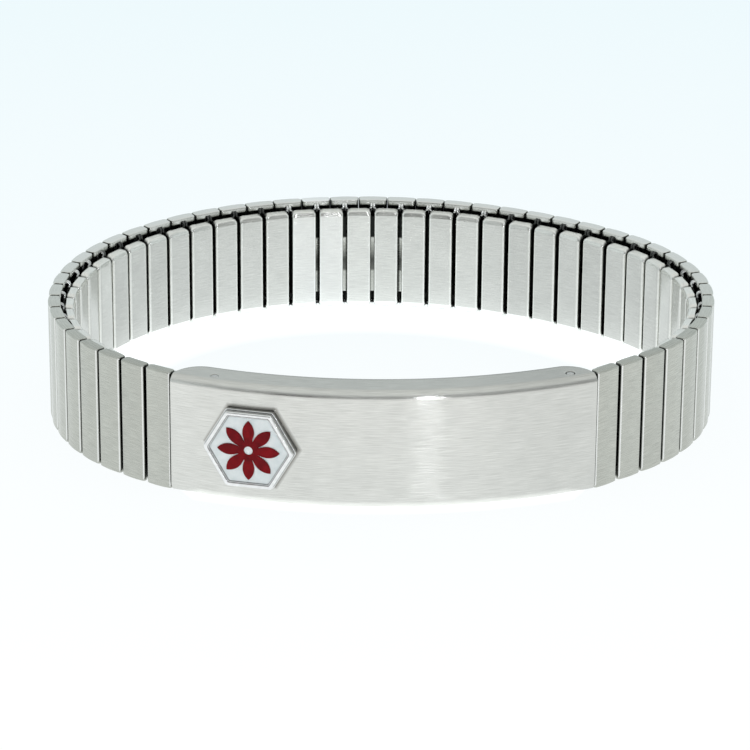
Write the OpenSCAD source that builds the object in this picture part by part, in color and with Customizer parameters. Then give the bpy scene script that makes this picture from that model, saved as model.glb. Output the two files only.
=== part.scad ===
// Expansion bracelet with a curved name plate, standing on its lower edge.
// The plate faces -Y, X runs to the right along it, and Z is up.
// Sizes are in millimetres. The origin is under the middle of the whole bracelet.

/* [Band] */
// Distance from one outer link to the next, along the face of the band
link_pitch = 3.21; // [3.18:0.01:3.26]
// Height of the band from its lower edge to its upper edge
band_h = 12.7; // [11.7:0.1:13.7]
// Width of an outer link
outer_w = 3; // [2.9:0.01:3.02]
// Thickness of an outer link, without its crown
outer_t = 1.1; // [1:0.05:1.2]
// How far the middle of an outer link's face stands out
outer_crown = 0.2; // [0.1:0.05:0.3]
// Width of an inner link
inner_w = 2.5; // [2.3:0.05:2.55]
// Thickness of an inner link
inner_t = 1; // [0.95:0.01:1.05]
// How much lower than the band's edge an inner link ends
inner_drop = 0.7; // [0.6:0.05:0.75]
// Space between the outer row and the inner row
row_gap = 0.55; // [0.5:0.05:0.7]

/* [Bails] */
// Thickness of the wire of the bails that join the rows
wire = 0.28; // [0.24:0.01:0.28]
// Distance of a bail's leg from the middle of the link that holds it
leg_offset = 0.28; // [0.26:0.01:0.3]

/* [Plate] */
// Radius of the plate's face
plate_r = 53.5; // [50:0.5:58]
// Thickness of the plate's sheet
plate_sheet = 0.5; // [0.4:0.05:0.5]
// How far the plate's face stands out past the outer links
plate_proud = 0.5; // [0.5:0.05:0.6]
// Depth of the flanges that are folded back over the band
flange_depth = 3.5; // [3.4:0.05:3.8]
// Outer radius of the fold between face and flange
fold_r = 0.9; // [0.7:0.05:1.2]
// Radius of the flanges' back corners
corner_r = 3; // [2.4:0.1:3]

/* [Pins] */
// Diameter of the pins that hold the band's ends in the plate
pin_d = 0.9; // [0.8:0.02:0.9]
// Distance of the pins behind the plate's face
pin_depth = 1.5; // [1.48:0.01:1.6]
// Distance of the right pin from the plate's right end
right_pin_in = 2.4; // [2.2:0.1:3]
// Distance of the left pin from the plate's left end
left_pin_in = 4.3; // [3.6:0.1:4.6]

/* [Badge] */
// Width of the hexagonal badge across its flats
badge_flats = 8.3; // [8:0.1:8.6]
// Distance of the badge's middle from the plate's middle, along the face
badge_arc = 13.4; // [12:0.1:14]
// Height of the badge's middle
badge_z = 6.1; // [5.9:0.05:6.6]
// How far the badge stands out from the plate
badge_rise = 1; // [0.8:0.05:1.2]
// Number of petals in the badge's red rosette
petals = 8; // [6:1:10]

/* [Hidden] */

$fn = 48;

// The band's course from the plate's right end round the back to its left end.
// Each row is one even bend: how many links it takes, and how far it turns in degrees.
LINKS = 0;
TURN = 1;
bends = [
    [2, 0],
    [6, 50],
    [6, 50],
    [6, 24],
    [7, 32],
    [6, 34],
    [6, 42],
    [6, 50],
    [2, 10]
];

// Outer links in all: the sum of the table's column
outer_count = [for (bend = bends) bend[LINKS]] * [for (bend = bends) 1];

// Straight distance between the ends of an arc
function arc_chord(length, turn) = turn == 0 ? length : 360 * length * sin(turn / 2) / (PI * turn);

// Place and heading, [x, y, heading], after some links along the course
function walk(links, row, x, y, heading) =
    let (part = min(links, bends[row][LINKS]),
         turn = bends[row][TURN] * part / bends[row][LINKS],
         step = arc_chord(part * link_pitch, turn),
         next_x = x + step * cos(heading + turn / 2),
         next_y = y + step * sin(heading + turn / 2))
    links <= bends[row][LINKS] || row == len(bends) - 1
        ? [next_x, next_y, heading + turn]
        : walk(links - part, row + 1, next_x, next_y, heading + turn);

// The course is turned so that its two ends lie level, the right one first
course_end = walk(outer_count, 0, 0, 0, 0);
first_heading = 180 - atan2(course_end.y, course_end.x);
half_chord = norm([course_end.x, course_end.y]) / 2;
function course(links) = walk(links, 0, half_chord, 0, first_heading);

// Point in the plane that lies along and behind a seat [x, y, heading]
function beside(seat, along, behind) =
    [seat.x + along * cos(seat[2]) - behind * sin(seat[2]),
     seat.y + along * sin(seat[2]) + behind * cos(seat[2])];

// Seats: an outer link spans two marks of the course, an inner link sits on one mark
function outer_seat(i) =
    let (a = course(i), b = course(i + 1))
    [(a.x + b.x) / 2, (a.y + b.y) / 2, atan2(b.y - a.y, b.x - a.x)];
inner_depth = outer_t + row_gap;
function inner_seat(i) =
    let (mark = course(i), at = beside(mark, 0, inner_depth))
    [at.x, at.y, mark[2]];
outer_seats = [for (i = [0 : outer_count - 1]) outer_seat(i)];
inner_seats = [for (i = [0 : outer_count]) inner_seat(i)];

// Plate: its arc passes outside the ends of the course, round a centre behind it
plate_gap = 0.06;
plate_centre_y = sqrt(pow(plate_r - plate_proud, 2) - pow(half_chord, 2));
plate_half_turn = asin(half_chord / (plate_r - plate_proud)) - arc_degrees(plate_gap);

// Angle that a length takes up on the plate's face
function arc_degrees(length) = length * 180 / (PI * plate_r);

// Angle of a place on the plate from its middle: positive to the right
right_pin_turn = plate_half_turn - arc_degrees(right_pin_in);
left_pin_turn = -plate_half_turn + arc_degrees(left_pin_in);
badge_turn = -arc_degrees(badge_arc);

// Point in the plane at an angle and a depth behind the plate's face
function on_plate(turn, depth) =
    [(plate_r - depth) * sin(turn), plate_centre_y - (plate_r - depth) * cos(turn)];

// The whole bracelet's reach, which puts the origin under its middle
crests = [for (seat = outer_seats) beside(seat, 0, -outer_crown)];
corners = [for (seat = outer_seats, side = [-1, 1]) beside(seat, side * outer_w / 2, 0)];
reach = concat(crests, corners);
back_y = max([for (point = reach) point.y]);
left_x = min([for (point = reach) point.x]);
right_x = max([for (point = reach) point.x]);
// The front of the badge is flat, so its corner nearest the middle reaches furthest
badge_front_y = on_plate(badge_turn, -badge_rise).y + badge_flats / sqrt(3) * sin(badge_turn);
front_y = min(on_plate(0, 0).y, badge_front_y);
origin_x = (left_x + right_x) / 2;
origin_y = (front_y + back_y) / 2;

// Clearances and walls
eps = 0.01;
running_gap = 0.06;
outer_wall = 0.25;
inner_wall = 0.12;
link_side_wall = 0.25;

// Bails: they stand between their top and the same distance from the lower edge
bail_inset = 0.45;
outer_leg_depth = 0.55;
inner_leg_depth = inner_depth + 0.38;
bail_corner_r = 0.3;

module in_frame() {
    translate([-origin_x, -origin_y, 0]) children();
}

// Puts a shape drawn with X along the band and Y towards the wrist on a seat
module on_seat(seat) {
    translate([seat.x, seat.y, 0]) rotate([0, 0, seat[2]]) children();
}

// Puts a shape drawn with its face in the XZ plane, facing -Y, on the plate
module on_plate_face(turn, depth) {
    at = on_plate(turn, depth);
    translate([at.x, at.y, 0]) rotate([0, 0, turn]) children();
}

// Same shape at the upper edge and, mirrored, at the lower edge of the band
module both_edges() {
    children();
    translate([0, 0, band_h]) mirror([0, 0, 1]) children();
}

// Outer link

// Section across an outer link: crowned face, sides that draw in, round back corners
module outer_section() {
    crown_r = (pow(outer_w / 2, 2) + pow(outer_crown, 2)) / (2 * outer_crown);
    back_r = 0.3;
    side_draw = 0.05;
    face = outer_w / 2;
    back = face - side_draw;
    side_end = outer_t - back_r;
    intersection() {
        translate([0, crown_r - outer_crown]) circle(r = crown_r, $fn = 256);
        union() {
            polygon([[-face, -outer_crown - eps], [face, -outer_crown - eps], [face, 0],
                     [back, side_end], [-back, side_end], [-face, 0]]);
            translate([-back + back_r, 0]) square([2 * (back - back_r), outer_t]);
            for (side = [-1, 1])
                translate([side * (back - back_r), side_end]) circle(r = back_r);
        }
    }
}

// Side view of an outer link, Y to the right: its edges towards the wrist are round
module outer_side() {
    edge_r = 0.35;
    translate([-1, 0]) square([1 + outer_t - edge_r, band_h]);
    translate([0, edge_r]) square([outer_t, band_h - 2 * edge_r]);
    for (z = [edge_r, band_h - edge_r])
        translate([outer_t - edge_r, z]) circle(r = edge_r);
}

module outer_link() {
    end_cap = 0.3;
    window_h = 0.6;
    hollow = [outer_w - 2 * link_side_wall, outer_t - 2 * outer_wall, band_h - 2 * end_cap];
    difference() {
        intersection() {
            linear_extrude(band_h) outer_section();
            rotate([90, 0, 90]) translate([0, 0, -outer_w])
                linear_extrude(2 * outer_w) outer_side();
        }
        translate([-hollow.x / 2, outer_wall, end_cap]) cube(hollow);
        both_edges()
            translate([-hollow.x / 2, outer_wall + eps, end_cap])
                cube([hollow.x, outer_t, window_h]);
    }
}

// Inner link

// Side view of an inner link, Y to the right: bevelled ends on the wrist side
module inner_side() {
    lip = 0.72;
    bevel_h = 0.8;
    top = band_h - inner_drop;
    polygon([[0, inner_drop], [lip, inner_drop], [inner_t, inner_drop + bevel_h],
             [inner_t, top - bevel_h], [lip, top], [0, top]]);
}

module inner_link() {
    inner_back_wall = 0.2;
    end_solid = 1.1;
    mouth_w = 1.1;
    mouth_depth = 0.5;
    notch_w = 1.6;
    notch_depth = 0.35;
    notch_h = 0.9;
    hollow_x = inner_w - 2 * link_side_wall;
    hollow_z = inner_drop + end_solid;
    difference() {
        rotate([90, 0, 90]) translate([0, 0, -inner_w / 2]) linear_extrude(inner_w) inner_side();
        translate([-hollow_x / 2, inner_wall, hollow_z])
            cube([hollow_x, inner_t - inner_wall - inner_back_wall, band_h - 2 * hollow_z]);
        // The mouth takes the bails' legs, and the notch lets them in from the row gap
        both_edges() {
            translate([-mouth_w / 2, inner_wall, -eps]) cube([mouth_w, mouth_depth, hollow_z + 2 * eps]);
            translate([-notch_w / 2, -eps, -eps]) cube([notch_w, notch_depth, notch_h]);
        }
    }
}

// Bails

// A bail stands in the plane of its two legs and passes through both links
module bail(outer_leg, inner_leg) {
    step = inner_leg - outer_leg;
    length = norm(step) + wire;
    height = band_h - 2 * bail_inset;
    translate([outer_leg.x, outer_leg.y, bail_inset])
        rotate([90, 0, atan2(step.y, step.x)])
            translate([-wire / 2, 0, -wire / 2])
                linear_extrude(wire) difference() {
                    rounded_box(length, height, bail_corner_r);
                    translate([wire, wire]) square([length - 2 * wire, height - 2 * wire]);
                }
}

module rounded_box(length, height, r) {
    translate([r, 0]) square([length - 2 * r, height]);
    translate([0, r]) square([length, height - 2 * r]);
    for (x = [r, length - r], y = [r, height - r])
        translate([x, y]) circle(r = r);
}

// Plate

// Section of the plate: X is the distance from its centre, Y is up
module plate_section() {
    translate([plate_r - flange_depth, 0]) difference() {
        folded_strip(flange_depth, band_h, fold_r);
        translate([-eps, plate_sheet])
            folded_strip(flange_depth - plate_sheet + eps, band_h - 2 * plate_sheet,
                         fold_r - plate_sheet);
    }
}

// A box with its two corners on the right rounded
module folded_strip(depth, height, r) {
    square([depth - r, height]);
    translate([0, r]) square([depth, height - 2 * r]);
    for (y = [r, height - r])
        translate([depth - r, y]) circle(r = r);
}

// What is cut off a flange's back corner at the plate's right end
module flange_corner_cut() {
    centre_r = plate_r - flange_depth + corner_r;
    back = asin(corner_r / centre_r);
    overhang = 1;
    rotate([0, 0, -90 + plate_half_turn])
        translate([0, 0, -1]) linear_extrude(band_h + 2) difference() {
            polygon([[centre_r * cos(back), -centre_r * sin(back)],
                     [centre_r * cos(back), overhang],
                     [centre_r - corner_r - overhang, overhang],
                     [(centre_r - corner_r - overhang) * cos(back),
                      -(centre_r - corner_r - overhang) * sin(back)]]);
            translate([centre_r * cos(back), -centre_r * sin(back)]) circle(r = corner_r);
        }
}

module pin_hole(turn) {
    at = on_plate(turn, pin_depth);
    translate([at.x, at.y, -1]) cylinder(d = pin_d + 2 * running_gap, h = band_h + 2);
}

module pin(turn) {
    at = on_plate(turn, pin_depth);
    translate([at.x, at.y, 0]) cylinder(d = pin_d, h = band_h);
}

// End links

// The last inner link at each end, with a tongue rolled into an eye round the pin
module end_link(seat, turn) {
    eye_d = 1.66;
    tongue = 0.5;
    tongue_start = 0.65;
    tongue_drop = 0.3;
    eye = on_plate(turn, pin_depth);
    low = inner_drop;
    height = band_h - 2 * low;
    tongue_h = height - 2 * tongue_drop;
    root = beside(seat, 0, inner_t / 2);
    reach = root - eye;
    difference() {
        union() {
            on_seat(seat) inner_link();
            translate([eye.x, eye.y, low]) cylinder(d = eye_d, h = height);
            difference() {
                translate([eye.x, eye.y, low + tongue_drop])
                    rotate([0, 0, atan2(reach.y, reach.x)])
                        translate([tongue_start, -tongue / 2, 0])
                            cube([norm(reach) - tongue_start, tongue, tongue_h]);
                // The tongue stops inside the sleeve's side wall, so the sleeve stays hollow
                on_seat(seat)
                    translate([-inner_w / 2 + link_side_wall / 2, -1, 0])
                        cube([inner_w - link_side_wall, inner_t + 2, band_h]);
            }
        }
        translate([eye.x, eye.y, -1]) cylinder(d = pin_d + 2 * running_gap, h = band_h + 2);
    }
}

// Badge

// Hexagonal prism with its points to the sides, standing on the plate's face
module hexagon(flats, height) {
    rotate([90, 0, 0]) linear_extrude(height) circle(d = flats * 2 / sqrt(3), $fn = 6);
}

module badge_seat(lift) {
    on_plate_face(badge_turn, lift) translate([0, 0, badge_z]) children();
}

recess_depth = 0.4;
rim_w = 0.42;
ground_flats = badge_flats - 2 * rim_w;
enamel_gap = 0.04;
ground_t = 0.2;
rosette_t = 0.1;

// One petal, pointing up: the lens where two circles overlap
module petal(length, width) {
    r = (pow(length / 2, 2) + pow(width / 2, 2)) / width;
    intersection() {
        translate([r - width / 2, length / 2]) circle(r = r, $fn = 96);
        translate([width / 2 - r, length / 2]) circle(r = r, $fn = 96);
    }
}

// Nodes

module id_plate() {
    color("#c9c8c4") in_frame() difference() {
        translate([0, plate_centre_y, 0])
            rotate([0, 0, -90 - plate_half_turn])
                rotate_extrude(angle = 2 * plate_half_turn, $fn = 360) plate_section();
        for (side = [0, 1])
            translate([0, plate_centre_y, 0]) mirror([side, 0, 0]) flange_corner_cut();
        pin_hole(right_pin_turn);
        pin_hole(left_pin_turn);
    }
}

module badge_frame() {
    step_h = 0.5;
    step_w = 0.16;
    color("#d8d9da") in_frame() difference() {
        badge_seat(1) {
            hexagon(badge_flats, 1 + step_h);
            hexagon(badge_flats - 2 * step_w, 1 + badge_rise);
        }
        badge_seat(recess_depth - badge_rise) hexagon(ground_flats, 2 * recess_depth);
        translate([0, plate_centre_y, -1])
            cylinder(r = plate_r + enamel_gap, h = band_h + 2, $fn = 360);
    }
}

module badge_ground() {
    color("#f6f7f8") in_frame()
        badge_seat(recess_depth - badge_rise - enamel_gap)
            hexagon(ground_flats - 2 * enamel_gap, ground_t);
}

module badge_rosette() {
    petal_l = 2.5;
    petal_w = 1.2;
    eye_r = 0.45;
    hub_r = 1.1;
    color("#8c1419") in_frame()
        badge_seat(recess_depth - badge_rise - 2 * enamel_gap - ground_t)
            rotate([90, 0, 0]) linear_extrude(rosette_t) difference() {
                union() {
                    circle(r = hub_r);
                    for (i = [0 : petals - 1])
                        rotate(i * 360 / petals) translate([0, hub_r - 0.4]) petal(petal_l, petal_w);
                }
                circle(r = eye_r);
            }
}

module outer_links() {
    color("#c4c2bc") in_frame()
        for (seat = outer_seats) on_seat(seat) outer_link();
}

// The first and the last inner link are the end links
module inner_links() {
    color("#b9b7b1") in_frame()
        for (i = [1 : outer_count - 1]) on_seat(inner_seats[i]) inner_link();
}

module link_bails() {
    color("#8e9092") in_frame()
        for (i = [0 : outer_count - 1], side = [0, 1]) {
            lean = side == 0 ? -1 : 1;
            outer_leg = beside(outer_seats[i], lean * leg_offset, outer_leg_depth);
            inner_leg = beside(course(i + side), -lean * leg_offset, inner_leg_depth);
            bail(outer_leg, inner_leg);
        }
}

module right_end_link() {
    color("#b9b7b1") in_frame() end_link(inner_seats[0], right_pin_turn);
}

module left_end_link() {
    color("#b9b7b1") in_frame() end_link(inner_seats[outer_count], left_pin_turn);
}

module right_pin() {
    color("#a9abad") in_frame() pin(right_pin_turn);
}

module left_pin() {
    color("#a9abad") in_frame() pin(left_pin_turn);
}

id_plate();
badge_frame();
badge_ground();
badge_rosette();
outer_links();
inner_links();
link_bails();
right_end_link();
left_end_link();
right_pin();
left_pin();
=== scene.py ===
# %% [markdown]
# # An expansion bracelet with a name plate
#
# The real bracelet is a spring band of small steel sleeves in two rows, closed by a bent name
# plate with an enamelled badge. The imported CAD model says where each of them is. This lesson
# works every sleeve, wire, pin and sheet out again as a surface, with the rounded edges, lips
# and grooves that catch the light, and gives each its finish.
# The first step loads the CAD model and keeps its box, because the dressed bracelet has to
# stay inside it. All lengths below are in millimetres; one factor turns them into metres.

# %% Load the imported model
import math

import bpy
import numpy as np
from mathutils import Matrix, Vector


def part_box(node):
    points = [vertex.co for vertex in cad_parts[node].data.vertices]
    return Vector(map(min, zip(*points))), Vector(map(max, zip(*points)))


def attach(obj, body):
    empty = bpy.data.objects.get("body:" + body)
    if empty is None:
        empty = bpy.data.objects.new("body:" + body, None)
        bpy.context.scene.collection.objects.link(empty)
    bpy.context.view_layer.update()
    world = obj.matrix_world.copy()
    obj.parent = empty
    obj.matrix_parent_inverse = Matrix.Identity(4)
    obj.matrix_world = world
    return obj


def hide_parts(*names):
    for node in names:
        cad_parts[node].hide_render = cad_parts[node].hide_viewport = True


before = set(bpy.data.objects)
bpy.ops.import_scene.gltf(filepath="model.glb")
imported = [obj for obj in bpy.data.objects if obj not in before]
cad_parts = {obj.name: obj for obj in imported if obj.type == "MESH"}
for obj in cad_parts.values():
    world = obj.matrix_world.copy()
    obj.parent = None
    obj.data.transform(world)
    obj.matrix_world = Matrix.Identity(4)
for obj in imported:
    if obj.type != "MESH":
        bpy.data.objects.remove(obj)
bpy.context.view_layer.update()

MM = 0.001

# %% [markdown]
# ## Camera
#
# The photograph was taken from a little above and from some distance, with a long lens. A
# camera could be aimed with a constraint, but three turns in a row are easier to read: the
# camera first looks straight down, is rolled a little, tipped up, and turned to its heading.

# %% Camera
CAMERA_PLACE = (-8.046, -400.428, 176.341)
CAMERA_HEADING = -1.063
CAMERA_LOOKS_DOWN = 23.405
CAMERA_ROLL = 0.3945
CAMERA_LENS = 198.96

camera_data = bpy.data.cameras.new("camera")
camera_data.lens = CAMERA_LENS
camera_data.clip_start = 10 * MM
camera_data.clip_end = 10000 * MM
camera = bpy.data.objects.new("camera", camera_data)
bpy.context.scene.collection.objects.link(camera)
camera.matrix_world = (
    Matrix.Translation([v * MM for v in CAMERA_PLACE])
    @ Matrix.Rotation(math.radians(CAMERA_HEADING), 4, "Z")
    @ Matrix.Rotation(math.radians(90 - CAMERA_LOOKS_DOWN), 4, "X")
    @ Matrix.Rotation(math.radians(CAMERA_ROLL), 4, "Z")
)
bpy.context.scene.camera = camera
print("Camera at", CAMERA_PLACE, "looking down by", CAMERA_LOOKS_DOWN, "degrees")

# %% [markdown]
# ## Tools for surfaces
#
# Nearly every piece here is pressed or bent sheet. So it helps to think of each as a grid of
# points: rings around a sleeve, or rows across a plate. A plan point is one complex number,
# which makes turning and moving it a product and a sum. The helpers below join a grid with
# faces and close a stack of rings with a fan at each end.

# %% Grids and fans
def grid_faces(rows, columns, closed_rows=False, closed_columns=False):
    """Four-sided faces of a grid of points: each joins a point, the next one in its row, and
    the two above them. A closed direction also joins its last line to its first."""
    row = np.arange(rows if closed_rows else rows - 1)[:, None]
    column = np.arange(columns if closed_columns else columns - 1)[None, :]
    above = (row + 1) % rows
    beside = (column + 1) % columns
    corners = (row * columns + column, row * columns + beside,
               above * columns + beside, above * columns + column)
    return np.stack(corners, axis=-1)


def fan_faces(pole, ring):
    """Triangles from one point to each pair of neighbours on a closed ring."""
    ahead = np.roll(ring, -1)
    return np.stack([np.full(len(ring), pole), ring, ahead], axis=-1)


def closed_stack(rows, columns, left_out=False):
    """Faces of a stack of closed rings, apart from those left out, with a fan over the first
    ring and one over the last. The fans' two middle points follow the points of the rings."""
    faces = grid_faces(rows, columns, closed_columns=True)
    ring = np.arange(columns)
    return [faces[~np.broadcast_to(left_out, faces.shape[:2])],
            fan_faces(rows * columns, ring[::-1]),
            fan_faces(rows * columns + 1, ring + (rows - 1) * columns)]


print("A grid of 3 x 4 points has", len(grid_faces(3, 4).reshape(-1, 4)), "faces")

# %% [markdown]
# The sleeves and the badge have outlines with round corners. A bevel would round one outline
# at a time. Here a table of corners and radii becomes as many outlines as it has rows, all
# with the same number of points, so that they can be stacked and joined.

# %% Rounded outlines
def rounded_outline(corners, radii, arc_steps, fractions):
    """Closed outline, anticlockwise, with its corners turned into arcs.

    The path reaches a corner along one direction and leaves along the next. An arc of the
    corner's radius touches both and starts radius x tan(half the turn) before the corner.
    Between two arcs, points lie at the given fractions of the straight stretch."""
    radii = np.broadcast_to(radii, corners.shape)[..., None]
    reaching = corners - np.roll(corners, 1, axis=-1)
    reaching = (reaching / abs(reaching))[..., None]
    turn = np.angle(np.roll(reaching, -1, axis=-2) / reaching)
    start = corners[..., None] - reaching * radii * np.tan(turn / 2)
    sweep = np.linspace(0, 1, arc_steps + 1)
    arcs = start + 1j * reaching * radii * (1 - np.exp(1j * turn * sweep))
    end = arcs[..., -1:]
    next_start = np.roll(arcs[..., :1], -1, axis=-2)
    straights = end + (next_start - end) * np.asarray(fractions)
    return np.concatenate([arcs, straights], axis=-1).reshape(*corners.shape[:-1], -1)


def box_corners(half_width, front, back):
    """Four corners of a section, anticlockwise from the front left one."""
    half_width, front, back = np.broadcast_arrays(half_width, front, back)
    return np.stack([-half_width + 1j * front, half_width + 1j * front,
                     half_width + 1j * back, -half_width + 1j * back], axis=-1)


def solid_points(plan, height):
    """Points in space from complex plan points and their heights."""
    plan, height = np.broadcast_arrays(plan, height)
    return np.stack([plan.real, plan.imag, height], axis=-1)


square = rounded_outline(box_corners(1, 0, 2), 0.2, 3, [0.5])
print("A square with round corners has", square.size, "points")

# %% [markdown]
# ## Tools for sheet metal
#
# A sleeve or a plate is sheet of an even thickness, and its cut edge is never sharp. Blender's
# Solidify could thicken a sheet, but it leaves a square rim. Here the script closes the wall
# itself: the two sides are joined the same way, and every open edge gets half an ellipse between
# them.

# %% Wall of a sheet
def directed_edges(face_groups):
    """All edges of all faces, each in the direction in which its face runs."""
    pairs = [np.stack([faces, np.roll(faces, -1, axis=1)], axis=-1) for faces in face_groups]
    return np.concatenate([pair.reshape(-1, 2) for pair in pairs])


def unit(vectors):
    """Vectors of length one; a vector without length stays as it is."""
    length = np.linalg.norm(vectors, axis=-1, keepdims=True)
    return vectors / np.where(length > 0, length, 1)


def shell(outside, inside, face_groups, bulge, steps):
    """Closed wall between two sets of points that the same faces join.

    An edge that only one face uses lies on a rim. There the wall ends in half an ellipse:
    middle + sin(angle) x half the wall + cos(angle) x bulge x the direction off the sheet.
    Returns the points, the faces, the sheet point that each point comes from, and how far
    through the wall it lies, from 0 outside to 1 inside."""
    count = len(outside)
    edges = directed_edges(face_groups)
    is_rim = ~np.isin(edges[:, 1] * count + edges[:, 0], edges[:, 0] * count + edges[:, 1])
    rim = edges[is_rim]
    half_wall = (outside - inside) / 2
    off_edge = unit(np.cross(outside[rim[:, 1]] - outside[rim[:, 0]],
                             half_wall[rim[:, 0]] + half_wall[rim[:, 1]]))
    off_sheet = np.zeros_like(outside)
    np.add.at(off_sheet, rim[:, 0], off_edge)
    np.add.at(off_sheet, rim[:, 1], off_edge)
    off_sheet = unit(off_sheet)
    rim_points = np.unique(rim)
    angle = np.linspace(np.pi / 2, -np.pi / 2, steps + 1)[1:-1, None, None]
    arcs = ((outside + inside)[rim_points] / 2 + np.sin(angle) * half_wall[rim_points]
            + np.cos(angle) * bulge * off_sheet[rim_points])
    order = np.zeros(count, int)
    order[rim_points] = np.arange(len(rim_points))
    rungs = 2 * count + order[rim] + len(rim_points) * np.arange(steps - 1)[:, None, None]
    ladder = np.concatenate([rim[None], rungs, rim[None] + count])
    below, above = ladder[:-1], ladder[1:]
    rim_faces = np.stack([below[..., 1], below[..., 0], above[..., 0], above[..., 1]], axis=-1)
    points = np.concatenate([outside, inside, arcs.reshape(-1, 3)])
    faces = (list(face_groups) + [group[:, ::-1] + count for group in face_groups]
             + [rim_faces.reshape(-1, 4)])
    source = np.concatenate([np.arange(count), np.arange(count), np.tile(rim_points, steps - 1)])
    through = np.repeat(np.linspace(0, 1, steps + 1)[1:-1], len(rim_points))
    depth = np.concatenate([np.zeros(count), np.ones(count), through])
    return points, faces, source, depth


print("A square face has", len(directed_edges([grid_faces(2, 2).reshape(-1, 4)])), "directed edges")

# %% [markdown]
# A surface becomes a piece of the bracelet once it is a mesh with a brush map, a number for
# each point that holds its worn finish and its painted light and shade, and a material, and
# stands for a node of the CAD model. Vertex normals are weighted by face area, so a flat face
# stays flat in the light and all the turning happens in the narrow rounded strips beside it.
# Plain smooth shading would bend the light across every flat face.

# %% Copies, joins and mesh pieces
def copies(face_groups, how_many, points_each):
    """The same faces for each copy of a shape, numbered on from the copy before."""
    first = np.arange(how_many)[:, None, None] * points_each
    return [(faces[None] + first).reshape(-1, faces.shape[1]) for faces in face_groups]


def joined(*shapes):
    """One set of points, faces, pattern places and colour numbers, for worn steel and painted light and
    shade, from several such sets.
    """
    firsts = np.cumsum([0] + [len(shape[0]) for shape in shapes])
    faces = [group + first for shape, first in zip(shapes, firsts) for group in shape[1]]
    wear_and_painted_light = [np.broadcast_to(shape[3], len(shape[0])) for shape in shapes]
    return (np.concatenate([shape[0] for shape in shapes]), faces,
            np.concatenate([shape[2] for shape in shapes]), np.concatenate(wear_and_painted_light))


def piece(name, shape, material, slot, *nodes):
    """Mesh object from (points in mm, face groups, pattern places in mm, colour number).

    The colour number goes from -1, painted shade or dark steel, over 0, the plain finish, to 1,
    polished steel or a painted highlight. A vertex normal is the sum of the faces' normals there,
    each weighted by its area."""
    points, face_groups, places, wear_and_painted_light = joined(shape)
    used = np.unique(np.concatenate([faces.ravel() for faces in face_groups]))
    number = np.zeros(len(points), int)
    number[used] = np.arange(len(used))
    points, places, wear_and_painted_light = points[used] * MM, places[used], wear_and_painted_light[used]
    face_groups = [number[faces] for faces in face_groups]
    normals = np.zeros_like(points)
    for faces in face_groups:
        across = points[faces[:, 2]] - points[faces[:, 0]]
        other = points[faces[:, -1]] - points[faces[:, 1]]
        area_normal = np.cross(across, other)
        for corner in faces.T:
            np.add.at(normals, corner, area_normal)
    mesh = bpy.data.meshes.new(name)
    mesh.from_pydata(points.tolist(), [], [face for faces in face_groups for face in faces.tolist()],
                     shade_flat=False)
    layer = mesh.uv_layers.new(name="brush")
    corners = np.zeros(len(mesh.loops), np.int32)
    mesh.loops.foreach_get("vertex_index", corners)
    layer.data.foreach_set("uv", places[corners].astype(np.float32).ravel())
    mesh.attributes.new("wear_and_painted_light", "FLOAT", "POINT").data.foreach_set("value", wear_and_painted_light.astype(np.float32))
    mesh.normals_split_custom_set_from_vertices(unit(normals).tolist())
    mesh.materials.append(material)
    thing = bpy.data.objects.new(name, mesh)
    bpy.context.scene.collection.objects.link(thing)
    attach(thing, "root")
    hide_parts(*nodes)
    mesh.calc_loop_triangles()
    print(name, "has", len(mesh.loop_triangles), "triangles")


print("Three copies of a square have", len(copies([grid_faces(2, 2).reshape(-1, 4)], 3, 4)[0]), "faces")

# %% [markdown]
# ## The band's course
#
# A spring band hangs in a loop of bends. Every mark between two links could be listed, but a
# table of nine bends is easier to read: how many links a bend takes, and how far it turns.
# Along an even bend of some turn t, a link of pitch p steps straight ahead by
# p x sin(t/2) / (t/2). Adding those steps up as complex numbers gives every mark of the band at
# once. The CAD model's own box says how far the drawing has to be moved.

# %% Marks and seats
PITCH = 3.21
BAND_H = 12.7
OUTER_W = 3.0
OUTER_T = 1.1
OUTER_CROWN = 0.2
ROW_GAP = 0.55
BEND_LINKS = np.array([2, 6, 6, 6, 7, 6, 6, 6, 2])
BEND_TURN = np.radians([0, 50, 50, 24, 32, 34, 42, 50, 10])

link_turn = np.repeat(BEND_TURN / BEND_LINKS, BEND_LINKS)
heading = np.concatenate([[0], np.cumsum(link_turn)])
steps = PITCH * np.sinc(link_turn / (2 * np.pi)) * np.exp(1j * (heading[:-1] + link_turn / 2))
marks = np.concatenate([[0], np.cumsum(steps)])
swing = np.pi - np.angle(marks[-1])
half_chord = abs(marks[-1]) / 2
heading = heading + swing
marks = marks * np.exp(1j * swing) + half_chord

outer_heading = np.angle(np.diff(marks))
outer_seats = (marks[:-1] + marks[1:]) / 2
inner_depth = OUTER_T + ROW_GAP
inner_seats = marks + 1j * inner_depth * np.exp(1j * heading)

along = np.exp(1j * outer_heading)
reach = np.concatenate([outer_seats - 1j * OUTER_CROWN * along,
                        outer_seats - OUTER_W / 2 * along, outer_seats + OUTER_W / 2 * along])
lowest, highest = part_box("outer_links")
origin = complex(reach.real.max() - highest.x / MM, reach.imag.max() - highest.y / MM)
marks, outer_seats, inner_seats = marks - origin, outer_seats - origin, inner_seats - origin
print("Links:", len(outer_seats), "outer; the course meets the CAD box within",
      round(abs(reach.real.min() - origin.real - lowest.x / MM), 4), "mm")


def at_seats(points, seats, headings):
    """Copies of a shape, X along the band and Y towards the wrist, one at each seat:
    plan = seat + (x + iy) x e^(i heading), and the height stays."""
    plan = points[..., 0] + 1j * points[..., 1]
    placed = np.asarray(seats)[:, None] + plan * np.exp(1j * np.asarray(headings))[:, None]
    return solid_points(placed, points[..., 2])


print("The course is", round(abs(np.diff(marks)).sum(), 1), "mm long between the plate's ends")

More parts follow.
